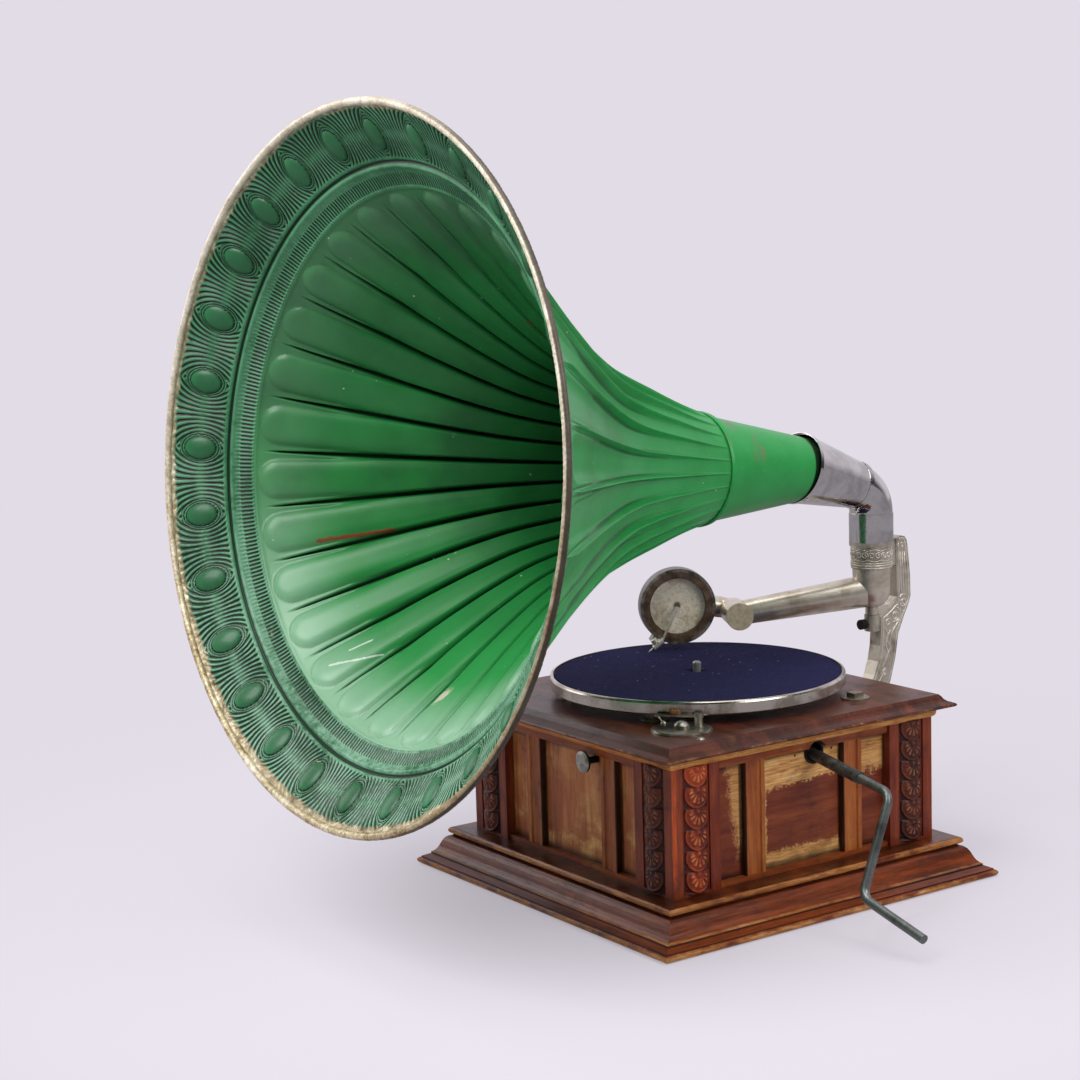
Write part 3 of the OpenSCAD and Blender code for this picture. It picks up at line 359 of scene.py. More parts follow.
def carved_wood():
    """Dark carving, redder and brighter on its raised parts, where the brightness is a painted highlight, and with
    painted shade in its hollows.
    """
    p = Paint("carved_walnut")
    x, y, z = p.axes()
    hollow = p.record("hollow")
    flow = p.noise(60, 5, 0.65, p.scaled(1, 1, 0.2))
    warm = p.rise(x, 0.136, 0.1385) * p.rise(y, -0.085, -0.095)
    p.base = p.blend(warm, "#3d170d", "#651d0a")
    p.lay(p.rise(flow, 0.4, 0.66), p.blend(warm, "#6a2c15", "#a03c13"))
    p.lay(p.rise(z, 0.112, 0.135) * warm * 0.8, "#b5481c")
    # Painted highlight on the raised parts.
    shine = p.rise(hollow, 0.3, 0.0) * p.fog(0.32, 0.6, 160, 3)
    p.lay(shine * 0.55, p.blend(warm, "#a0684a", "#d88a50"))
    # Painted shade in the hollows.
    p.lay(p.rise(hollow, 0.36, 0.8) * 0.85, p.blend(warm, "#270d07", "#3a1108"))
    return p.done(p.noise(90) * 0.2 + 0.4, flow, 0.0006, coat=(0.08, 0.03), specular=0.3)


def plated(name, bright, dull, rough, stain=0.5, brown="#6b5438", pitted=0.4, metal=1.0):
    """Old nickel or steel: brushed, stained, with small pits."""
    p = Paint(name)
    cloud = p.noise(42, 5, 0.65, None, 0.4)
    brush = p.noise(900, 2, 0.5)
    pits = p.dots(420, 0.10, 0.22) * p.fog(0.5, 0.62, 60, 3)
    p.base = p.ramp(cloud, (0.35, 0.55, 0.8), " ".join((dull, bright, bright)))
    p.lay(p.fog(0.56, 0.78, 24, 6, 0.7) * stain, brown)
    p.lay(pits * pitted, "#3a2d1e")
    return p.done(rough + cloud * 0.12 + pits * 0.3 + (brush - 0.5) * 0.08, brush - pits * 0.8, 0.00012, 0.35,
                  metal - pits * (pitted * 0.6 * metal))


def mark(p, x, z, start, end, width):
    """Share of a ragged mark along a line, seen from the front."""
    dx, dz = end[0] - start[0], end[1] - start[1]
    across, up = x - start[0], z - start[1]
    run = ((across * dx + up * dz) / (dx * dx + dz * dz)).larger(0.0).smaller(1.0)
    across, up = across - run * dx, up - run * dz
    off = (across * across + up * up) ** 0.5
    return p.rise(off + (p.noise(240, 4, 0.7) - 0.5) * width * 2.2, width, width * 0.4)


def green_paint(name, inside, neck=False):
    """Old enamel on the horn: clean in the depth, dusty and chipped near the mouth, with painted light and shade.
    """
    p = Paint(name)
    x, y, z = p.axes()
    hollow = p.record("hollow")
    reach = p.record("reach")
    cloud = p.noise(9, 4, 0.6)
    fine = p.noise(130, 4, 0.6)
    if inside:
        p.base = p.ramp(cloud, (0.35, 0.5, 0.68), "#125a26 #19702f #257f3d")
        # Painted light and shade inside: brighter low down, darker high up, and painted shade in the deep throat,
        # where the paint is also darker.
        low = p.rise(z, 0.36, 0.2)
        p.lay(low * 0.6, "#249344")
        p.lay(p.rise(z, 0.34, 0.46) * 0.3, "#1a4f2e")
        p.lay(p.rise(reach, 440, 250) * (0.85 - low * 0.35), "#0a3015")
        # Dust on the lower petals near the mouth, with a painted sheen.
        dust_and_sheen = p.rise(reach, 452, 508) * (p.rise(z, 0.40, 0.16) * 0.75 + 0.14) * (cloud * 0.7 + 0.5)
        p.lay(dust_and_sheen * 0.6, "#b4ccbc")
        for start, end, width, share, colour in (
            ((-0.1494, 0.3057), (-0.1155, 0.3128), 0.0022, 0.85, "#8c2c13"),
            ((0.0309, 0.2005), (0.0340, 0.2030), 0.0052, 0.7, "#d8c3b6"),
            ((-0.0869, 0.2132), (-0.0633, 0.2203), 0.0011, 0.7, "#cfdccf"),
            ((-0.0829, 0.2239), (-0.0747, 0.2311), 0.0010, 0.7, "#cfdccf"),
        ):
            p.lay(mark(p, x, z, start, end, width) * share, colour)
    else:
        p.base = p.ramp(cloud, (0.35, 0.52, 0.7), "#178035 #209042 #2f9a50")
        p.lay(p.rise(fine, 0.6, 0.8) * 0.12, "#9cc7a6")
        p.lay(p.rise(reach, 213.5, 211) * p.rise(reach, 100, 110) * 0.8, "#5a2d17")
        if neck:
            # Painted shadow on the neck just before the elbow's mouth.
            mouth_offset = x * 0.037 - (y - NECK_END[0]) * 0.9556 + (z - NECK_END[1]) * 0.21
            p.lay(p.rise(mouth_offset, 0.0044, 0.0032) * 0.95, "#080a07")
            p.lay(p.fog(0.55, 0.68, 38, 6, 0.7) * p.rise(z, 0.352, 0.372) * 0.7, "#6f6a58")
    # Painted shade in the seams, round the petals' ends and along the ribs outside.
    p.lay(p.rise(hollow, 0.22, 0.9) * 0.92, "#06180c")
    wear = p.noise(46, 6, 0.72, p.node("VectorMath", {"operation": "ADD"}, {0: p.spot, 1: (3.1, 0.4, 1.7)}))
    rust = p.rise(wear, 0.68, 0.72) * p.rise(fine, 0.45, 0.6)
    bare = p.fog(0.69, 0.725, 30, 6, 0.75)
    flecks = p.dots(95, 0.05, 0.10) * p.fog(0.55, 0.62, 17)
    p.lay(rust * 0.75, "#7a3a22")
    p.lay(bare * (0.45 if inside else 0.3), "#a9a892")
    p.lay(flecks * 0.6, "#d4ddd0")
    return p.done(fine * 0.12 + rust * 0.3 + bare * 0.2 + 0.34, fine * 0.4 - rust - bare * 0.6, 0.0003,
                  coat=(0.12, 0.16), specular=0.34)


def border_paint():
    """Bluer enamel on the embossed border, worn pale on the crests with a painted highlight there, painted shade in
    the grooves, and bronze at the rim.
    """
    p = Paint("border_enamel")
    x, y, z = p.axes()
    hollow = p.record("hollow")
    reach = p.record("reach")
    cloud = p.noise(11, 4, 0.6)
    fine = p.noise(210, 4, 0.65)
    p.base = p.ramp(cloud, (0.35, 0.5, 0.68), "#15562f #1d6a3c #2c7d4c")
    lower = p.rise(z, 0.42, 0.14)
    p.lay(p.band(reach, 243, 261, 4) * 0.6, "#115029")
    # Pale crests: wear with a painted highlight, stronger on the lower side.
    crest = p.rise(hollow, 0.34, 0.08) * p.rise(cloud * 0.5 + fine * 0.5, 0.36, 0.58)
    p.lay(crest * (lower * 0.34 + 0.14), "#a4c8b3")
    # Painted shade in the grooves between the lines and round the eggs.
    p.lay(p.rise(hollow, 0.24, 0.62) * 0.97, "#04110a")
    edge = p.rise(reach + (fine - 0.5) * 6 + (cloud - 0.5) * 8 + lower * 2.5, 270.5, 273)
    p.lay(edge, p.ramp(p.noise(95, 5, 0.7), (0.34, 0.5, 0.64), "#5f5136 #a09070 #cfc5ac"))
    chips = p.fog(0.66, 0.70, 70, 6, 0.75)
    p.lay(chips * 0.6, p.blend(lower, "#7d5f44", "#cfc6b0"))
    return p.done(fine * 0.16 + chips * 0.2 + 0.38, fine - chips, 0.0003, metal=edge * 0.35, coat=(0.12, 0.18),
                  specular=0.4)


def rim_metal():
    p = Paint("rim_bronze")
    x, y, z = p.axes()
    cloud = p.noise(34, 6, 0.7)
    grit = p.noise(360, 4, 0.7)
    p.base = p.ramp(cloud * 0.6 + grit * 0.4, (0.38, 0.46, 0.54, 0.64), "#6e5a3a #a8956c #d3c6a8 #f0e9d8")
    # Painted light and shade: the upper part paler, the right side darker low down, and the outer side of the roll
    # darker, most on the right.
    p.lay(p.rise(z, 0.2, 0.52) * 0.45, "#e2dbce")
    right = p.rise(x, 0.04, 0.18)
    p.lay(right * p.rise(z, 0.44, 0.3) * 0.6, "#6b5331")
    p.lay(p.rise(p.record("reach"), 1.0, 2.2) * (right * 0.75 + 0.15), "#2b2318")
    p.lay(p.fog(0.62, 0.68, 52, 5, 0.7) * 0.35, "#5b7a55")
    rust = p.fog(0.63, 0.69, 88, 5, 0.75)
    p.lay(rust * 0.6, "#57331f")
    return p.done(grit * 0.2 + rust * 0.2 + 0.34, grit - rust * 0.5, 0.0004, 0.6, 0.3)


def knob_metal():
    """A pale worn face on a black knob."""
    p = Paint("knob_metal")
    x, y, z = p.axes()
    face = p.rise(y, -0.1477, -0.1481)
    cloud = p.noise(150, 5, 0.65)
    p.base = p.blend(face, "#0b0b0a", p.ramp(cloud, (0.36, 0.5, 0.66), "#7d7a72 #a5a198 #c4bfb4"))
    return p.done(cloud * 0.15 + 0.42, cloud, 0.0002, 0.4, face * 0.7)


def felt_cloth():
    p = Paint("blue_felt")
    fibre = p.noise(1400, 4, 0.7, None, 1.2)
    mat = p.noise(260, 5, 0.65)
    p.base = p.ramp(mat * 0.5 + fibre * 0.5, (0.34, 0.5, 0.68), "#0e0d26 #1a193e #2b2a55")
    p.lay(p.fog(0.5, 0.75, 26, 4, 0.6) * 0.25, "#312f55")
    p.lay(p.dots(110, 0.05, 0.09) * p.fog(0.50, 0.57, 19, 3) * 0.9, "#b9b9cc")
    hair = p.rise(abs(p.noise(75, 2, 0.4, None, 2.0) - 0.5), 0.006, 0.001) * p.fog(0.56, 0.66, 12)
    p.lay(hair * 0.28, "#8c8cb0")
    return p.done(0.95, fibre + mat, 0.0008, 0.7, specular=0.15,
                  more={"Sheen Weight": 0.12, "Sheen Roughness": 0.5, "Sheen Tint": "#5a58a0"})


def box_radius(p):
    """Distance from the middle of the sound box."""
    x, y, z = (value - middle for value, middle in zip(p.axes(), BOX_MIDDLE))
    return (x * x + y * y + z * z) ** 0.5


def sound_ring():
    """Brown gasket inside a nickel ring."""
    p = Paint("sound_ring")
    off = box_radius(p)
    cloud = p.noise(90, 5, 0.65)
    outer = p.rise(off, 0.0320, 0.0325)
    p.base = p.ramp(cloud, (0.35, 0.5, 0.66), "#3a281c #5a4231 #7c6450")
    p.lay(outer, p.ramp(cloud, (0.35, 0.5, 0.66), "#4a4038 #857c72 #b1a99e"))
    # Painted shade at the gasket's inner edge, beside the mica.
    p.lay(p.rise(off, 0.0272, 0.0262) * 0.7, "#20140c")
    return p.done(cloud * 0.15 + 0.36, cloud, 0.0003, 0.4, outer * 0.7)


def mica_leaf():
    p = Paint("mica_leaf")
    veins = p.noise(160, 6, 0.75, None, 1.5)
    cloud = p.noise(60, 3, 0.6)
    p.base = p.ramp(veins * 0.6 + cloud * 0.4, (0.36, 0.5, 0.64), "#b8a486 #e9dac1 #fffaf2")
    p.lay(p.rise(box_radius(p), 0.0045, 0.0020) * 0.9, "#2a2119")
    p.lay(p.dots(330, 0.1, 0.2) * p.rise(cloud, 0.5, 0.6) * 0.7, "#5c4a38")
    return p.done(veins * 0.2 + 0.3, veins, 0.0004, coat=(0.2, 0.08))


def plain_finish(name, tones, rough, scale=120.0, metal=0.0, depth=0.0003, specks="#1a1410"):
    """Rubber, leather, fibre, brass or iron: mottled, with specks and a fine relief."""
    p = Paint(name)
    mottle = p.noise(scale, 5, 0.65)
    grit = p.noise(scale * 6, 3, 0.6)
    p.base = p.ramp(mottle * 0.7 + grit * 0.3, (0.34, 0.5, 0.67), tones)
    spots = p.dots(scale * 2.4, 0.08, 0.16) * p.rise(mottle, 0.5, 0.6)
    p.lay(spots * 0.6, specks)
    return p.done(rough + grit * 0.14 + spots * 0.15, grit + mottle, depth, metal=metal)


# Mesh tools


def link(name, data):
    """Puts new data into the scene as an object."""
    made = bpy.data.objects.new(name, data)
    bpy.context.scene.collection.objects.link(made)
    return made


def raw_mesh(name, points, faces, attributes=(), indices=None):
    """An object from points in mm in the row frame and a list of face arrays, shaded smooth."""
    mesh = bpy.data.meshes.new(name)
    corners = [face for group in faces for face in group.tolist()]
    mesh.from_pydata(np.asarray(points, float) * MM, (), corners, shade_flat=False)
    if indices is not None:
        mesh.polygons.foreach_set("material_index", indices.astype(np.int32))
    for key, values in dict(attributes).items():
        mesh.attributes.new(key, "FLOAT", "POINT").data.foreach_set("value", values.astype(np.float32))
    mesh.validate()
    return link(name, mesh)


def settle(piece, body, slot, materials, *stands_for):
    """Gives a piece its materials and its body, and hides the nodes that it stands for. slot is not used."""
    for material in materials:
        piece.data.materials.append(material)
    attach(piece, body)
    if stands_for:
        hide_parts(*stands_for)
    return piece


def dress(material, *names):
    """Puts one material on CAD nodes."""
    for name in names:
        slots = NODES[name].data.materials
        slots.clear()
        slots.append(material)


def eased(line):
    """A smooth curve through the (x, y) points of a line, to be read at any x."""
    xs, ys = np.array(list(line), float).T
    steps = np.diff(ys) / np.diff(xs)
    slopes = np.concatenate([steps[:1], (steps[1:] + steps[:-1]) / 2, steps[-1:]])

    def read(x):
        i = np.clip(np.searchsorted(xs, x) - 1, 0, len(xs) - 2)
        w = xs[i + 1] - xs[i]
        u = (x - xs[i]) / w
        return ((2 * u ** 3 - 3 * u ** 2 + 1) * ys[i] + (u ** 3 - 2 * u ** 2 + u) * w * slopes[i]
                + (3 * u ** 2 - 2 * u ** 3) * ys[i + 1] + (u ** 3 - u ** 2) * w * slopes[i + 1])

    return read


def smooth(x, low, high):
    """A smooth step from 0 at low to 1 at high."""
    u = np.clip((x - low) / (high - low), 0, 1)
    return u * u * (3 - 2 * u)


def hill(x, width):
    """A bell-shaped bump of height 1."""
    return np.exp(-(x / width) ** 2)


def horn_points(radius, angle, along):
    """Points of the horn's own frame, carried into the row frame in mm."""
    radius, angle, along = np.broadcast_arrays(radius, angle, along)
    pts = np.stack([radius * np.cos(angle), radius * np.sin(angle), along], -1).reshape(-1, 3)
    turn = np.array(HORN.to_3x3())
    return pts @ turn.T + np.array(HORN.translation) / MM


def ring_faces(rows, cols):
    i, j = np.meshgrid(np.arange(rows - 1), np.arange(cols), indexing="ij")
    a, b = i * cols + j, i * cols + (j + 1) % cols
    return np.stack([a, b, b + cols, a + cols], -1).reshape(-1, 4)


def two_faced(rows, cols):
    """Faces of a ring-shaped sheet with a front and a back grid of the same size, closed at both edges."""
    j = np.arange(cols)
    k = (j + 1) % cols
    back = rows * cols
    last = back - cols
    face = ring_faces(rows, cols)
    return [face, face[:, ::-1] + back,
            np.stack([k, j, j + back, k + back], -1),
            np.stack([j + last, k + last, k + last + back, j + last + back], -1)]


def horn_sheet(name, radius, along, lean, angle, lifts, attributes, indices=None):
    """A closed sheet round the horn. lean is its normal across and along the axis, and lifts and each attribute
    hold one array for its front and one for its back."""
    shape = lifts[0].shape
    sides = [horn_points(radius + lean[0] * lift, angle, along + lean[1] * lift) for lift in lifts]
    return raw_mesh(name, np.concatenate(sides), two_faced(*shape), {
        key: np.concatenate([np.broadcast_to(side, shape).ravel() for side in pair])
        for key, pair in attributes.items()}, indices)


def fix_outward(piece):
    """Turns all faces of a closed mesh outward."""
    work = bmesh.new()
    work.from_mesh(piece.data)
    bmesh.ops.recalc_face_normals(work, faces=work.faces)
    work.to_mesh(piece.data)
    work.free()
    return piece


def tube_mesh(name, rods, sides=8):
    """Round rods along lists of (line, radius), with closed domed ends."""
    points, quads, caps, start = [], [], [], 0
    j = np.arange(sides)
    turn = (j * TAU / sides)[:, None]
    for line, radius in rods:
        along = np.gradient(line, axis=0)
        along /= np.linalg.norm(along, axis=1)[:, None]
        side = np.cross(along[0], (0.21, 0.33, 0.92))
        if np.linalg.norm(side) < 0.2:
            side = np.cross(along[0], (0.9, 0.1, 0.2))
        for spot, way in zip(line, along):
            side = side - way * (side @ way)
            side /= np.linalg.norm(side)
            points.append(spot + radius * (np.cos(turn) * side + np.sin(turn) * np.cross(way, side)))
        quads.append(ring_faces(len(line), sides) + start)
        last = start + (len(line) - 1) * sides
        points.append(np.stack([line[0] - along[0] * radius * 0.6, line[-1] + along[-1] * radius * 0.6]))
        for first, tip in ((start, last + sides), (last, last + sides + 1)):
            caps.append(np.stack([j + first, (j + 1) % sides + first, np.full(sides, tip)], -1))
        start = last + sides + 2
    return fix_outward(raw_mesh(name, np.concatenate(points), [np.concatenate(quads), np.concatenate(caps)]))


# Pieces


def make_bell(size):
    """The fluted bell: rounded petals inside, deep seams between them, ribs outside."""
    count = size.flutes
    half = 15
    share = 0.5 * (np.arange(half + 1) / half) ** 1.6
    u = np.concatenate([-0.5 + share[:-1], 0.5 - share[::-1][:-1]])
    cols = len(u) * count
    angle = ((np.arange(cols) // len(u)) + np.tile(u, count) + 0.5) * TAU / count
    u = np.tile(u, count)[None, :]
    t = np.concatenate([np.linspace(BELL_START, 430, 36), np.linspace(430, BELL_END, 62)[1:]])[:, None]
    radius = eased(BELL_LINE)(t)
    slope = np.gradient(radius[:, 0], t[:, 0])[:, None]
    length = np.sqrt(1 + slope ** 2)
    lean = np.stack([-1 / length, slope / length])
    pitch = TAU * radius / count
    growth = np.minimum(1, (t - 206) / 150)
    wide = 0.47 - 0.115 * smooth(t, 380, 505)
    arc = (t - PETAL_END) * length
    cap = wide * pitch
    beyond = np.maximum(0, arc + cap) / cap
    q = np.sqrt((u / wide) ** 2 + beyond ** 2)
    dome = np.clip(1 - q ** 3.2, 0, 1) ** 0.6
    petal = size.petal_height / MM * growth * dome
    seam = (0.5 - np.abs(u)) * pitch
    taper = smooth(SEAM_END - t, 0, 16)
    width = 0.75 + 0.8 * smooth(t, 230, 400) - 0.95 * smooth(t, 440, 510)
    groove = size.groove_depth / MM * growth * taper * hill(seam, width)
    lip = 0.55 * taper * growth * hill(seam - width * 2.1, width * 0.8)
    edge = smooth(BELL_END - t, 0, 2.5) * smooth(t - BELL_START, 0, 4)
    rise = (petal + lip - groove - 1.2 * growth) * edge
    # deep, foot and outside give the share of painted shade in the seams, round the petals' ends and along the ribs
    # outside.
    deep = np.clip(taper * hill(seam, width * 1.35) * 1.15, 0, 1)
    foot = 0.5 * hill((q - 1.03) * cap, 1.5) * smooth(t, 300, 420)
    deep = np.clip(np.maximum(deep, foot), 0, 1)
    outside = 0.7 * hill(seam - 2.6, 1.2) * growth
    faces = (len(t) - 1) * cols
    return horn_sheet("fluted_bell", radius, t, lean, angle, (rise, rise - SHEET), {
        "hollow": (deep, outside), "reach": (t, t)}, np.repeat([0, 1], [faces, faces + 2 * cols]))


def make_border(size):
    """The embossed border: ribbed band, beads, raised ring, eggs among flowing lines."""
    count, per = size.flutes, 90
    cols = count * per
    angle = np.arange(cols) * TAU / cols
    rs = np.concatenate([np.linspace(BORDER_START, 229, 17), np.linspace(229, 236, 12)[1:],
                         np.linspace(236, BORDER_END, 50)[1:]])
    along = eased(BORDER_LINE)(rs)
    slope = np.gradient(along, rs)
    length = np.sqrt(1 + slope ** 2)
    lean = np.stack([-slope / length, 1 / length])[:, :, None]
    arc = np.concatenate([[0], np.cumsum(np.hypot(np.diff(rs), np.diff(along)))])
    rho = (arc - np.interp(EGG_RADIUS, rs, arc))[:, None]
    r = rs[:, None]
    step = TAU / count
    tau = ((angle + step / 2) % step - step / 2) * r
    reach = step * r / 2
    egg_l, egg_w = 14.2, 9.8
    q = np.sqrt((rho / egg_l) ** 2 + (tau / egg_w) ** 2)
    zone = smooth(r, 235.5, 238.5) * (1 - smooth(r, 270, 272.5))
    egg = size.egg_height / MM * np.sqrt(np.clip(1 - q ** 2, 0, 1))
    bulge = egg_w * 1.34 * np.clip(1 - (rho / 23.5) ** 2, 0, 1) ** 0.75
    flow = 1 + 4.5 * (np.abs(tau) - bulge) / (reach - bulge)
    near = (q - 1) / 0.17
    line = np.where(q < 1.34, near, np.maximum(flow, 0))
    ridge = np.abs(np.sin(np.pi * line)) ** 0.7
    calm = 1 - 0.6 * hill(rho, 6.5) * (q > 1.34)
    wavy = (ridge - 0.6) * size.line_height / MM * calm * (q > 1)
    ribs = 0.5 + 0.5 * np.cos(angle * count * 15)
    band = smooth(r, 216.8, 218) * (1 - smooth(r, 225.4, 226.6))
    beads = sum(hill(r - middle, 0.75) for middle in BEAD_RADII) * ribs ** 2
    ring_up = 1.5 * hill(r - RING_RADIUS, 1.5)
    gutter = 1.6 * hill(r - GUTTER_RADIUS, 1.0) - 0.8 * hill(r - 236.4, 1.0)
    dents = np.array([[noise.noise(Vector((math.cos(a) * 40, math.sin(a) * 40, b * 0.35))) for a in angle[::2]]
                      for b in rs[-8:]]).repeat(2, axis=1)
    rise = zone * (egg + wavy) + ribs * band * 1.1 + beads * 1.2 + ring_up - gutter
    rise[-8:] += dents * 0.5 * smooth(rs[-8:, None], 267, 270)
    rise = rise * smooth(r, BORDER_START, 216)
    # deep gives the share of painted shade between the lines, between the ribs and in the gutter.
    deep = np.where(q > 0.97, np.clip((1 - ridge) * 1.7, 0, 1) * calm, 0.3) * zone + band * (1 - ribs) * 0.85
    deep = np.clip(deep + hill(r - GUTTER_RADIUS, 1.0), 0, 1)
    low = zone * egg + ring_up - SHEET - 0.9
    return horn_sheet("embossed_border", r, along[:, None], lean, angle, (rise, low), {
        "hollow": (deep, 0.0), "reach": (r, 240.0)})


def make_rim():
    """The rolled and hammered rim."""
    cols, sides = 1260, 18
    angle = np.arange(cols) * TAU / cols
    turn = np.arange(sides) * TAU / sides
    radius = np.zeros((sides, cols))
    for k, b in enumerate(turn):
        for j, a in enumerate(angle):
            spot = Vector((math.cos(a) * 30, math.sin(a) * 30, b * 0.9))
            beat = math.cos(a * 420 + 1.5 * math.sin(b)) * 0.10
            radius[k, j] = RIM_THICK + 0.22 * noise.noise(spot * 1.6) + 0.1 * noise.noise(spot * 5) + beat
    radius = np.minimum(radius, RIM_LIMIT)
    out = radius * np.cos(turn)[:, None]
    points = horn_points(RIM_CENTRE[0] + out, angle, RIM_CENTRE[1] + radius * np.sin(turn)[:, None])
    grid = ring_faces(sides + 1, cols) % (sides * cols)
    return fix_outward(raw_mesh("rolled_rim", points, [grid], {"reach": out.ravel()}))


def shell_height(x, y):
    """Height in mm of one scallop, hinge up and round end down. x runs across, y up."""
    cx = np.hypot(x, y - 12.5)
    ring = 1.3 * hill(cx - 11.2, 0.75) + 0.7 * hill(cx - 9.3, 0.5)
    dist = np.hypot(x, 14.9 - y)
    fan = np.arctan2(x, 14.9 - y)
    lobes = np.abs(np.cos(np.pi * fan / math.radians(27))) ** 0.7
    petals = 1.7 * lobes * smooth(dist, 1.4, 6.0) * smooth(cx, 8.7, 7.9) * (np.abs(fan) < math.radians(94.5))
    eyes = 1.5 * hill(np.hypot(np.abs(x) - 6.2, y - 15.4), 1.7)
    boss = 1.5 * hill(np.hypot(x, y - 15.2), 1.8)
    outer = smooth(cx, 12.0, 12.8)
    leaf = 0.9 * outer * hill(np.abs(x) - 12.0, 1.0) * (0.5 + 0.5 * np.cos(TAU * y / 4.3))
    return ring + np.maximum(np.maximum(petals, boss), eyes) + leaf - 0.9 * outer - 0.45


def make_columns(size):
    """Eight half-round columns of stacked scallops."""
    wide, tall = 47, 30 * size.shells + 1
    theta = np.linspace(-40, 40, wide) * math.pi / 180
    x = theta * COLUMN_R
    z = np.linspace(COLUMN_LOW, COLUMN_HIGH, tall)
    pitch = (COLUMN_HIGH - COLUMN_LOW) / size.shells
    local = (z - COLUMN_LOW) % pitch
    height = shell_height(x, local[:, None])
    ends = (smooth(z, COLUMN_LOW, COLUMN_LOW + 1) * smooth(z, COLUMN_HIGH, COLUMN_HIGH - 1))[:, None]
    height = height * smooth(np.abs(x), 13.6, 12.6) * ends
    flat = COLUMN_R + height * 0.85
    px = flat * np.sin(theta)
    py = -COLUMN_AXIS - flat * np.cos(theta)
    sides = ((0, 0), (1, 1))
    px = np.pad(px, sides, constant_values=(px[:, 0].min(), px[:, -1].max()))
    py = np.pad(py, sides, constant_values=COLUMN_BACK)
    # hollow is high on the carving's low parts, for painted shade, and low on its raised parts, for a painted
    # highlight.
    hollow = np.pad(np.clip(0.5 - height * 0.42, 0, 1), sides, constant_values=0.5).ravel()
    column = np.stack([px, py, np.broadcast_to(z[:, None], px.shape)], -1).reshape(-1, 3)
    around = np.arange(wide + 2)
    points = []
    for c, s in ((1, 0), (0, 1), (-1, 0), (0, -1)):
        for x in (-COLUMN_X, COLUMN_X):
            points.append((column + (x, 0, 0)) @ np.array([[c, s, 0], [-s, c, 0], [0, 0, 1]]))
    starts = (np.arange(len(points)) * len(column))[:, None, None]
    walls = ring_faces(tall, len(around)) + starts
    caps = np.stack([around[::-1], around + len(column) - len(around)]) + starts
    return fix_outward(raw_mesh(
        "carved_shells", np.concatenate(points), [walls.reshape(-1, 4), caps.reshape(-1, len(around))],
        {"hollow": np.tile(hollow, len(points))}))


def spiral(centre, start, end, turns, phase, steps=36):
    """A scroll in the plane, from one radius to another."""
    u = np.linspace(0, 1, steps)
    a = phase + turns * TAU * u
    r = start + (end - start) * u
    return np.stack([centre[0] + r * np.cos(a), centre[1] + r * np.sin(a)], -1)


def waved(points, steps=8):
    """A smooth line through points in the plane."""
    count = np.arange(len(points))
    at = np.arange(count[-1] * steps + 1) / steps
    return np.stack([eased(zip(count, column))(at) for column in zip(*points)], -1)


def bracket_lines():
    """Relief on the side of the cast bracket: (y, z) lines with the radius of each."""
    curves = (
        (0.85, (232, 267.6), (238.4, 266.4), (240.6, 256), (243.2, 235), (243.9, 214), (241.3, 205.5), (235.2, 195),
         (228.6, 180), (224.6, 158.5), (218.2, 138.6), (206.2, 118.6), (188.6, 100.4), (171, 84.6), (150, 74.6)),
        (0.75, (231.4, 264), (231.2, 214), (226, 204.6), (216.4, 198.4), (212, 195.6), (211.8, 186), (210.8, 171),
         (208, 157), (203.4, 145), (195.4, 131), (182, 116), (166, 104.4), (150, 98)),
        (0.7, (233, 213), (236, 215.5), (240.5, 214.5)),
        (0.8, (229.8, 203.6), (233.4, 200.4), (232.4, 193.6), (227.4, 187.4), (222.4, 181), (219.8, 171)),
        (0.8, (214.8, 186), (217.4, 178.4), (214.8, 170.6), (217.6, 163.6), (214.2, 156)),
        (0.75, (220.8, 184), (216.2, 176.6), (220.4, 168.6), (216.2, 160.6), (210.6, 150)),
        (0.8, (214, 150), (207.6, 139.6), (199.6, 128.6), (188.6, 116)),
    )
    scrolls = (
        (0.8, (237.2, 208.4), 4.6, 1.3, 1.4, 2.6), (0.8, (226.6, 196.4), 5.0, 1.4, 1.5, 4.4),
        (0.7, (218.2, 191.6), 3.4, 1.0, 1.2, 0.6), (0.7, (212.4, 146.6), 3.2, 1.0, 1.3, 3.4),
        (0.75, (190.6, 110.8), 4.2, 1.2, 1.4, 1.0), (0.6, (236.2, 261.2), 2.5, 0.7, 1.2, 0.0),
    )
    reeds = [np.array([(y, 218 + (y - 234.6) * 0.4), (y - 0.4, 236), (y - 1.2, 255)])
             for y in (234.6, 237.4, 240.2)]
    return ([(waved(points), radius) for radius, *points in curves] + [(reed, 0.62) for reed in reeds]
            + [(spiral(*scroll), radius) for radius, *scroll in scrolls])


def make_relief():
    """Scrolls on both sides of the bracket and round its collar."""
    rods = []
    for x in (-7.0, 7.0):
        for line, radius in bracket_lines():
            rods.append((np.stack([np.full(len(line), x), line[:, 0], line[:, 1]], -1), radius))
    collar = 18.5
    across = TAU * collar
    for k in range(8):
        middle = (k - 3.5) * across * 0.104
        for sign in (-1, 1):
            curl = spiral((middle + sign * 3.0, 256.3), 3.1, 0.8, 1.25, 0.4 if sign > 0 else math.pi - 0.4)
            if sign < 0:
                curl[:, 1] = 2 * 256.3 - curl[:, 1]
            rods.append((wrap(curl, collar), 0.62))
        rods.append((wrap(waved([(middle - 6.2, 252.4), (middle, 251.0), (middle + 6.2, 252.4)]), collar), 0.5))
        rods.append((wrap(waved([(middle - 6.2, 260.4), (middle, 262.0), (middle + 6.2, 260.4)]), collar), 0.5))
    span = np.linspace(-across * 0.43, across * 0.43, 90)
    for z, radius in ((247.2, 0.7), (249.2, 0.55), (263.4, 0.6), (245.0, 0.5)):
        rods.append((wrap(np.stack([span, np.full(90, z)], -1), collar), radius))
    return tube_mesh("bracket_relief", rods, 8)


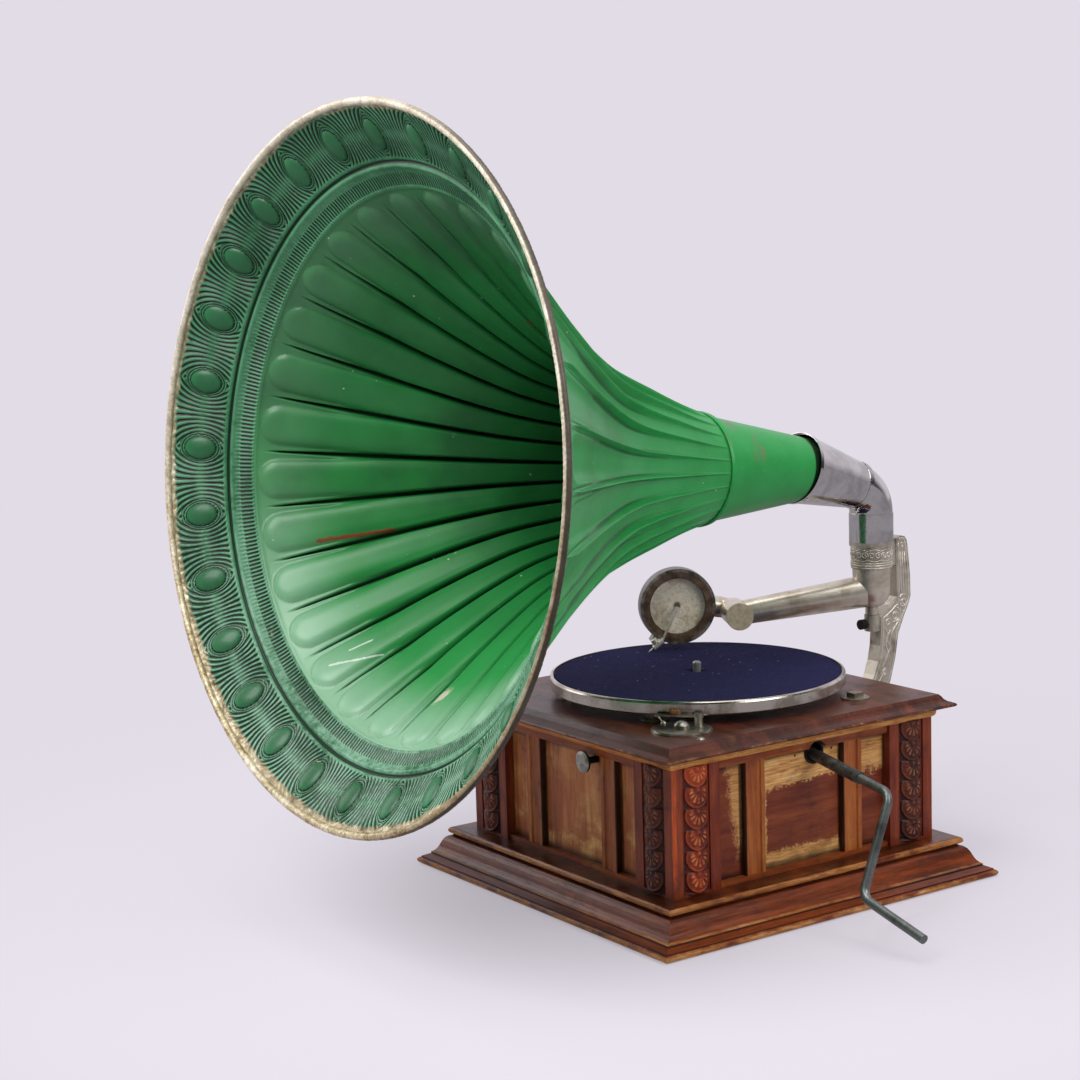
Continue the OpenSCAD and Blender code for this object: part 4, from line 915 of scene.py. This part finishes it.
def wrap(line, radius):
    """Carries a line of (arc, height) onto the upright collar. Arc 0 faces the front."""
    a = line[:, 0] / radius - math.pi / 2
    return np.stack([radius * np.cos(a), AXIS_Y + radius * np.sin(a), line[:, 1]], -1)


def make_felt():
    """The felt disc: 2 mm thick, with a soft uneven top and rounded fuzzy edges."""
    rings, cols = 46, 240
    low, high = 175.5, 177.48
    hole, rim = 4.1, 124.0
    angle = np.arange(cols) * TAU / cols
    r = hole + (rim - hole) * np.linspace(0, 1, rings) ** 0.8
    edge = np.minimum(1, np.minimum(r - hole, rim - r) / 1.2)
    drop = 0.9 * (1 - np.sqrt(np.clip(1 - (1 - edge) ** 2, 0, 1)))
    top = np.zeros((rings, cols))
    wander = np.zeros((rings, cols))
    for i in range(rings):
        for j in range(cols):
            spot = Vector((r[i] * math.cos(angle[j]), r[i] * math.sin(angle[j]), 7.0))
            top[i, j] = high - 0.12 - drop[i] + 0.12 * noise.noise(spot * 0.07) + 0.05 * noise.noise(spot * 0.9)
            wander[i, j] = 0.25 * noise.noise(spot * 0.35) * (r[i] > rim - 0.5)
    rr = r[:, None] + wander - 0.25 * (r[:, None] > rim - 0.5)
    across, deep = rr * np.cos(angle), rr * np.sin(angle)
    points = np.stack([[across, deep, level] for level in (np.minimum(top, high), np.full_like(rr, low))])
    points = points.transpose(0, 2, 3, 1).reshape(-1, 3)
    return fix_outward(raw_mesh("platter_felt", points, two_faced(rings, cols)))


def make_pad(name, node):
    """A leather pad with rounded, slightly pressed faces, in the place of its solid."""
    work = bmesh.new()
    work.from_mesh(NODES[node].data)
    bmesh.ops.remove_doubles(work, verts=work.verts, dist=1e-6)
    bmesh.ops.dissolve_limit(work, angle_limit=0.02, verts=work.verts, edges=work.edges)
    bmesh.ops.bevel(work, geom=work.edges[:], offset=0.00045, segments=3, affect="EDGES", clamp_overlap=True)
    long = [edge for edge in work.edges if edge.calc_length() > 0.0015]
    bmesh.ops.subdivide_edges(work, edges=long, cuts=3, use_grid_fill=True)
    bmesh.ops.recalc_face_normals(work, faces=work.faces)
    for vert in work.verts:
        vert.co += vert.normal * (0.00004 * noise.noise(vert.co * 900) - 0.00005)
    mesh = bpy.data.meshes.new(name)
    work.to_mesh(mesh)
    work.free()
    mesh.shade_smooth()
    return link(name, mesh)


# Settings


class CabinetLook(bpy.types.PropertyGroup):
    """Shapes carved into the cabinet."""

    shells: bpy.props.IntProperty(
        name="Shells", description="Scallops on each carved column", default=6, min=3, max=9)


class HornLook(bpy.types.PropertyGroup):
    """Shapes pressed into the horn."""

    flutes: bpy.props.IntProperty(name="Flutes", description="Petals round the bell", default=28, min=20, max=36)
    petal_height: bpy.props.FloatProperty(
        name="Petal", description="Height of a petal's crown", default=4.8 * MM, unit="LENGTH")
    groove_depth: bpy.props.FloatProperty(
        name="Seam", description="Depth of the seam between two petals", default=4.4 * MM, unit="LENGTH")
    egg_height: bpy.props.FloatProperty(
        name="Egg", description="Height of an egg on the border", default=3.8 * MM, unit="LENGTH")
    line_height: bpy.props.FloatProperty(
        name="Lines", description="Height of the lines round the eggs", default=1.9 * MM, unit="LENGTH")


class StudioLook(bpy.types.PropertyGroup):
    """Backdrop and lamps."""

    backdrop: bpy.props.FloatVectorProperty(
        name="Backdrop", description="Colour behind the object", subtype="COLOR", size=3,
        default=tint("#e2dce6")[:3])
    lamp_power: bpy.props.FloatProperty(name="Lamps", description="Power of all lamps", default=1.0, min=0.0)


# Operators


class MakeCabinet(bpy.types.Operator):
    """Finish the boards, posts and mouldings of the cabinet"""

    bl_idname = "gramophone.cabinet"
    bl_label = "Cabinet wood"

    def execute(self, context):
        for node, *settings in (
            ("top_board", "board_walnut", "x", "#230c07 #431b0e #6a331c", board_wear, 0.3, None, "#9a6534", 0.75),
            ("base_moulding", "base_walnut", "ring", "#2a0c04 #56210a #8c4015", base_wear, 0.24, base_shade,
             "#bd7a34"),
            ("bed_moulding", "bed_walnut", "ring", "#7a3a12 #ab6120 #c98434", bed_wear, 0.4, None, "#c88a3c"),
            ("front_panel", "front_walnut", "z", "#6b3013 #a0562a #c27c42", front_panel_wear, 0.4, panel_shade,
             "#dba862"),
            ("right_panel", "right_walnut", "y", "#42150a #682711 #8b431d", right_panel_wear, 0.36, panel_shade,
             "#cf9a55"),
            ("plain_panels", "plain_walnut", "z", "#4a1e0d #733518 #955026", plain_wear, 0.42, panel_shade),
            ("corner_posts", "post_walnut", "z", "#431409 #6c2711 #93421c", post_wear, 0.32, None, "#a83c0f", 0.5,
             ("#6a2008", "#d46a22")),
            ("panel_stiles", "stile_walnut", "z", "#60280d #924a1b #b56c2a", plain_wear, 0.34, stile_shade),
            ("panel_rails", "rail_walnut", "ring", "#4e1b0a #7c3613 #a05420", plain_wear, 0.38),
            ("bottom_board", "raw_deal", "y", "#9a7446 #b9935f #cfae7c", None, 0.7, None, "", 0.3),
        ):
            dress(wood(*settings), node)
        return {"FINISHED"}


class MakeColumns(bpy.types.Operator):
    """Carve the eight columns of stacked scallops"""

    bl_idname = "gramophone.columns"
    bl_label = "Carved columns"

    def execute(self, context):
        piece = make_columns(context.scene.gramophone_cabinet)
        settle(piece, "cabinet", "carving", [carved_wood()], "carved_columns")
        return {"FINISHED"}


class MakeBell(bpy.types.Operator):
    """Press the petals of the bell and paint it inside and out"""

    bl_idname = "gramophone.bell"
    bl_label = "Fluted bell"

    def execute(self, context):
        piece = make_bell(context.scene.gramophone_horn)
        paints = [green_paint("green_inside", True), green_paint("green_outside", False)]
        settle(piece, "horn", "green_paint", paints, "horn_throat", "horn_bell")
        return {"FINISHED"}


class MakeBorder(bpy.types.Operator):
    """Emboss the border and roll the rim"""

    bl_idname = "gramophone.border"
    bl_label = "Embossed border"

    def execute(self, context):
        piece = make_border(context.scene.gramophone_horn)
        settle(piece, "horn", "green_paint", [border_paint()], "horn_border")
        settle(make_rim(), "horn", "rim_paint", [rim_metal()], "horn_border")
        return {"FINISHED"}


class MakeNeck(bpy.types.Operator):
    """Paint the neck of the horn and plate its elbow"""

    bl_idname = "gramophone.neck"
    bl_label = "Neck and elbow"

    def execute(self, context):
        dress(green_paint("green_neck", False, True), "horn_neck")
        dress(plated("elbow_nickel", "#d3d1cf", "#b5b3b1", 0.03, 0.12, "#6a5f50", 0.2), "horn_elbow")
        return {"FINISHED"}


class MakeArm(bpy.types.Operator):
    """Finish the tone arm and the sound box"""

    bl_idname = "gramophone.arm"
    bl_label = "Arm and sound box"

    def execute(self, context):
        dress(plated("arm_nickel", "#e3dac9", "#c0b49f", 0.26, 0.3, metal=0.85), "tone_arm", "crook")
        dress(plain_finish("cap_nickel", "#a8977a #cdbd9f #e3d6bc", 0.4, 140, 0.3), "cross_cap")
        dress(plated("box_metal", "#8f8b84", "#6c6862", 0.34, 0.5), "soundbox_case")
        dress(sound_ring(), "soundbox_ring")
        dress(mica_leaf(), "diaphragm")
        dress(plated("bar_nickel", "#f0e9dc", "#cdc5b6", 0.24, metal=0.45), "stylus_bar", "needle_screw", "needle")
        return {"FINISHED"}


class MakeBracket(bpy.types.Operator):
    """Finish the cast bracket and lay the scrolls on it"""

    bl_idname = "gramophone.bracket"
    bl_label = "Cast bracket"

    def execute(self, context):
        cast = plated("cast_nickel", "#e6dfd1", "#bfb6a5", 0.32, 0.3, metal=0.65)
        # The bracket is a darker copy of the scrolls' cast nickel: painted shade round the raised scrolls.
        dress(plated("cast_ground", "#ccc4b5", "#9b9284", 0.34, 0.4, metal=0.72), "bracket")
        settle(make_relief(), "cabinet", "silvered", [cast])
        dress(plated("screw_nickel", "#b9b2a6", "#8c8579", 0.3), "bracket_screws", "pivot_pin")
        dress(plain_finish("lock_black", "#0d0d0d #191817 #2a2826", 0.4, 200, 0.6), "lock_screw")
        return {"FINISHED"}


class MakePlatter(bpy.types.Operator):
    """Lay the felt and plate the platter, the spindle and the brake"""

    bl_idname = "gramophone.platter"
    bl_label = "Platter and brake"

    def execute(self, context):
        dress(plated("platter_nickel", "#d3ccc0", "#a39a8b", 0.16, 0.4), "platter")
        dress(plated("spindle_steel", "#d8d4cc", "#a5a19a", 0.25, metal=0.7), "spindle")
        dress(plated("brake_nickel", "#c2bbae", "#8a8377", 0.28, 0.7), "brake_plate", "brake_lever", "board_screw")
        dress(plated("bolt_nickel", "#b5ae9f", "#7d7566", 0.34, 0.8), "motor_bolts")
        dress(knob_metal(), "speed_knob")
        felt = settle(make_felt(), "turntable", "felt", [felt_cloth()], "felt_mat")
        return {"FINISHED"}


class MakePads(bpy.types.Operator):
    """Round the leather pads of brake and governor"""

    bl_idname = "gramophone.pads"
    bl_label = "Leather pads"

    def execute(self, context):
        hide = plain_finish("pad_leather", "#5d3b20 #80552f #a1754a", 0.7, 500, depth=0.0002)
        for name, node, body in (
            ("brake_leather", "brake_pad", "brake"), ("governor_leather", "regulator_pad", "regulator"),
        ):
            settle(make_pad(name, node), body, "leather", [hide], node)
        return {"FINISHED"}


class MakeCrank(bpy.types.Operator):
    """Finish the winding crank and its bush"""

    bl_idname = "gramophone.crank"
    bl_label = "Winding crank"

    def execute(self, context):
        dress(plated("crank_steel", "#858a88", "#585c5a", 0.34, 0.45, "#4a3a2a", 0.7, metal=0.9), "crank_rod")
        dress(plain_finish("sleeve_black", "#2a2a28 #4b4b47 #75736c", 0.42, 160, 0.6), "crank_sleeve")
        dress(plain_finish("bush_black", "#060606 #0f0f0e #1d1c1a", 0.5, 200, 0.3), "crank_bush")
        return {"FINISHED"}


class MakeMotor(bpy.types.Operator):
    """Finish the spring motor inside the cabinet"""

    bl_idname = "gramophone.motor"
    bl_label = "Spring motor"

    def execute(self, context):
        iron = plain_finish("motor_iron", "#26282a #3a3d40 #565a5c", 0.42, 90, 0.8)
        dress(iron, "motor_top_plate", "motor_bottom_plate", "motor_pillars", "winding_bracket",
              "governor_bracket")
        brass = plain_finish("motor_brass", "#7d5a1e #b08a35 #d3b25c", 0.3, 70, 1.0, specks="#4a3512")
        dress(brass, "barrel_drum", "barrel_cap", "intermediate_wheel", "winding_arbor", "governor_weights")
        steel = plated("motor_steel", "#8f9294", "#66696b", 0.3, 0.3)
        dress(steel, "mainspring", "winding_shaft", "winding_check_spring", "governor_shaft", "governor_disc",
              "governor_springs", "regulator_lever")
        fibre = plain_finish("fibre_brown", "#4a2c16 #6b4423 #8a6136", 0.6, 300)
        dress(fibre, "spindle_worm_wheel")
        return {"FINISHED"}


class MakeStudio(bpy.types.Operator):
    """Set the camera, the lamps, the pale floor and the backdrop"""

    bl_idname = "gramophone.studio"
    bl_label = "Studio"

    def execute(self, context):
        look = context.scene.gramophone_studio
        colour = tuple(look.backdrop)
        self.camera(context.scene)
        self.lamps(look.lamp_power)
        context.scene.world = self.world(colour)
        self.floor(colour)
        context.scene.view_settings.view_transform = "Standard"
        return {"FINISHED"}

    def aim(self, made, target, azimuth, elevation, distance, roll=0.0):
        """Puts an object at a distance in metres from its target, on a bearing in degrees, looking at it."""
        a, e, r = (math.radians(angle) for angle in (azimuth, elevation, roll))
        back = Vector((math.sin(a) * math.cos(e), -math.cos(a) * math.cos(e), math.sin(e)))
        made.location = Vector(target) + back * distance
        made.rotation_mode = "QUATERNION"
        turn = (-back).to_track_quat("-Z", "Y").to_matrix().to_4x4() @ Matrix.Rotation(r, 4, "Z")
        made.rotation_quaternion = turn.to_quaternion()

    def camera(self, scene):
        """The photograph's camera: its focal length and shifts are in pixels of the square picture."""
        picture, film = 1080, 36
        data = bpy.data.cameras.new("photo_camera")
        data.sensor_width = film
        data.lens = film * 2288.15 / picture
        data.shift_x = 17.99 / picture
        data.shift_y = -14.1 / picture
        data.clip_end = 60
        scene.camera = link("photo_camera", data)
        self.aim(scene.camera, (-0.0683, -0.13126, 0.31033), 55.657, 8.113, 1.93733, -1.804)

    def lamps(self, power):
        for name, azimuth, elevation, distance, size, watts in (
            ("key", 8, 44, 2.3, 1.3, 46), ("side", 108, 34, 2.4, 1.3, 24), ("top", 40, 82, 2.4, 2.0, 30),
            ("left", -62, 22, 2.6, 1.4, 12),
        ):
            data = bpy.data.lights.new(name, "AREA")
            data.shape = "SQUARE"
            data.size = size
            data.energy = watts * power
            self.aim(link(name, data), (0, -0.1, 0.3), azimuth, elevation, distance)

    def world(self, colour):
        """The backdrop for the camera, a darker near side for mirrors, and an even light for all else."""
        made = bpy.data.worlds.new("studio_world")
        made.use_nodes = True
        p = Paint(made.node_tree)
        x, y, z = p.axes(p.node("TexCoord", out="Generated"))
        mirrored = p.blend(p.rise(x * 0.8 - y * 0.6, -0.5, 0.0), (*colour, 1), (0.05, 0.05, 0.055, 1))
        sight = p.ray("Camera").larger(p.ray("Transmission"))
        shown = p.node("Background", (), {"Color": (*colour, 1)})
        bright = p.node("Background", (), {"Color": mirrored})
        lit = p.node("Background", (), {"Color": (0.95, 0.95, 1.0, 1), "Strength": 0.36})
        seen = p.node("MixShader", (), {0: p.ray("Glossy"), 1: lit, 2: bright})
        p.show(p.node("MixShader", (), {0: sight, 1: seen, 2: shown}), "World")
        return made

    def floor(self, colour):
        """A round sheet of paper that fades into the backdrop away from the object."""
        steps, cols, far = 24, 96, 14000
        r = (1 + far * (np.arange(steps) / (steps - 1)) ** 3)[:, None]
        a = np.arange(cols) * TAU / cols
        pts = np.stack([r * np.cos(a), r * np.sin(a), np.zeros((steps, cols))], -1).reshape(-1, 3)
        made = raw_mesh("studio_floor", pts, [ring_faces(steps, cols), np.arange(cols)[None, ::-1]])
        p = Paint("studio_paper")
        x, y, z = p.axes()
        away = p.rise((x * x + y * y) ** 0.5, 0.15, 0.95) * 0.55 + 0.45
        sight = p.ray("Camera").larger(p.ray("Transmission"))
        glossy = p.ray("Glossy")
        paper = p.node("BsdfDiffuse", (), {"Color": (*(part * 0.86 for part in colour), 1)})
        glow = p.node("Emission", (), {"Color": (*colour, 1), "Strength": 1 - glossy * 0.5})
        p.show(p.node("MixShader", (), {0: (away * sight).larger(glossy), 1: paper, 2: glow}))
        made.data.materials.append(p.material)


class GramophonePanel(bpy.types.Panel):
    """Lists the steps that make the gramophone"""

    bl_idname = "VIEW3D_PT_gramophone"
    bl_label = "Horn gramophone"
    bl_space_type = "VIEW_3D"
    bl_region_type = "UI"
    bl_category = "Gramophone"

    def draw(self, context):
        for group in ("gramophone_cabinet", "gramophone_horn", "gramophone_studio"):
            look = getattr(context.scene, group)
            for key in look.bl_rna.properties.keys():
                if key not in ("rna_type", "name"):
                    self.layout.prop(look, key)
        for step in STEPS:
            self.layout.operator(step.bl_idname)


STEPS = (
    MakeStudio, MakeCabinet, MakeColumns, MakeBell, MakeBorder, MakeNeck, MakeArm, MakeBracket, MakePlatter,
    MakePads, MakeCrank, MakeMotor,
)
GROUPS = {"gramophone_cabinet": CabinetLook, "gramophone_horn": HornLook, "gramophone_studio": StudioLook}


def register():
    for part in (*GROUPS.values(), *STEPS, GramophonePanel):
        bpy.utils.register_class(part)
    for name, group in GROUPS.items():
        setattr(bpy.types.Scene, name, bpy.props.PointerProperty(type=group))


def unregister():
    for name in GROUPS:
        delattr(bpy.types.Scene, name)
    for part in (GramophonePanel, *STEPS[::-1], *GROUPS.values()):
        bpy.utils.unregister_class(part)


def main():
    register()
    for step in STEPS:
        getattr(bpy.ops.gramophone, step.bl_idname.split(".")[1])()


if __name__ == "__main__":
    main()
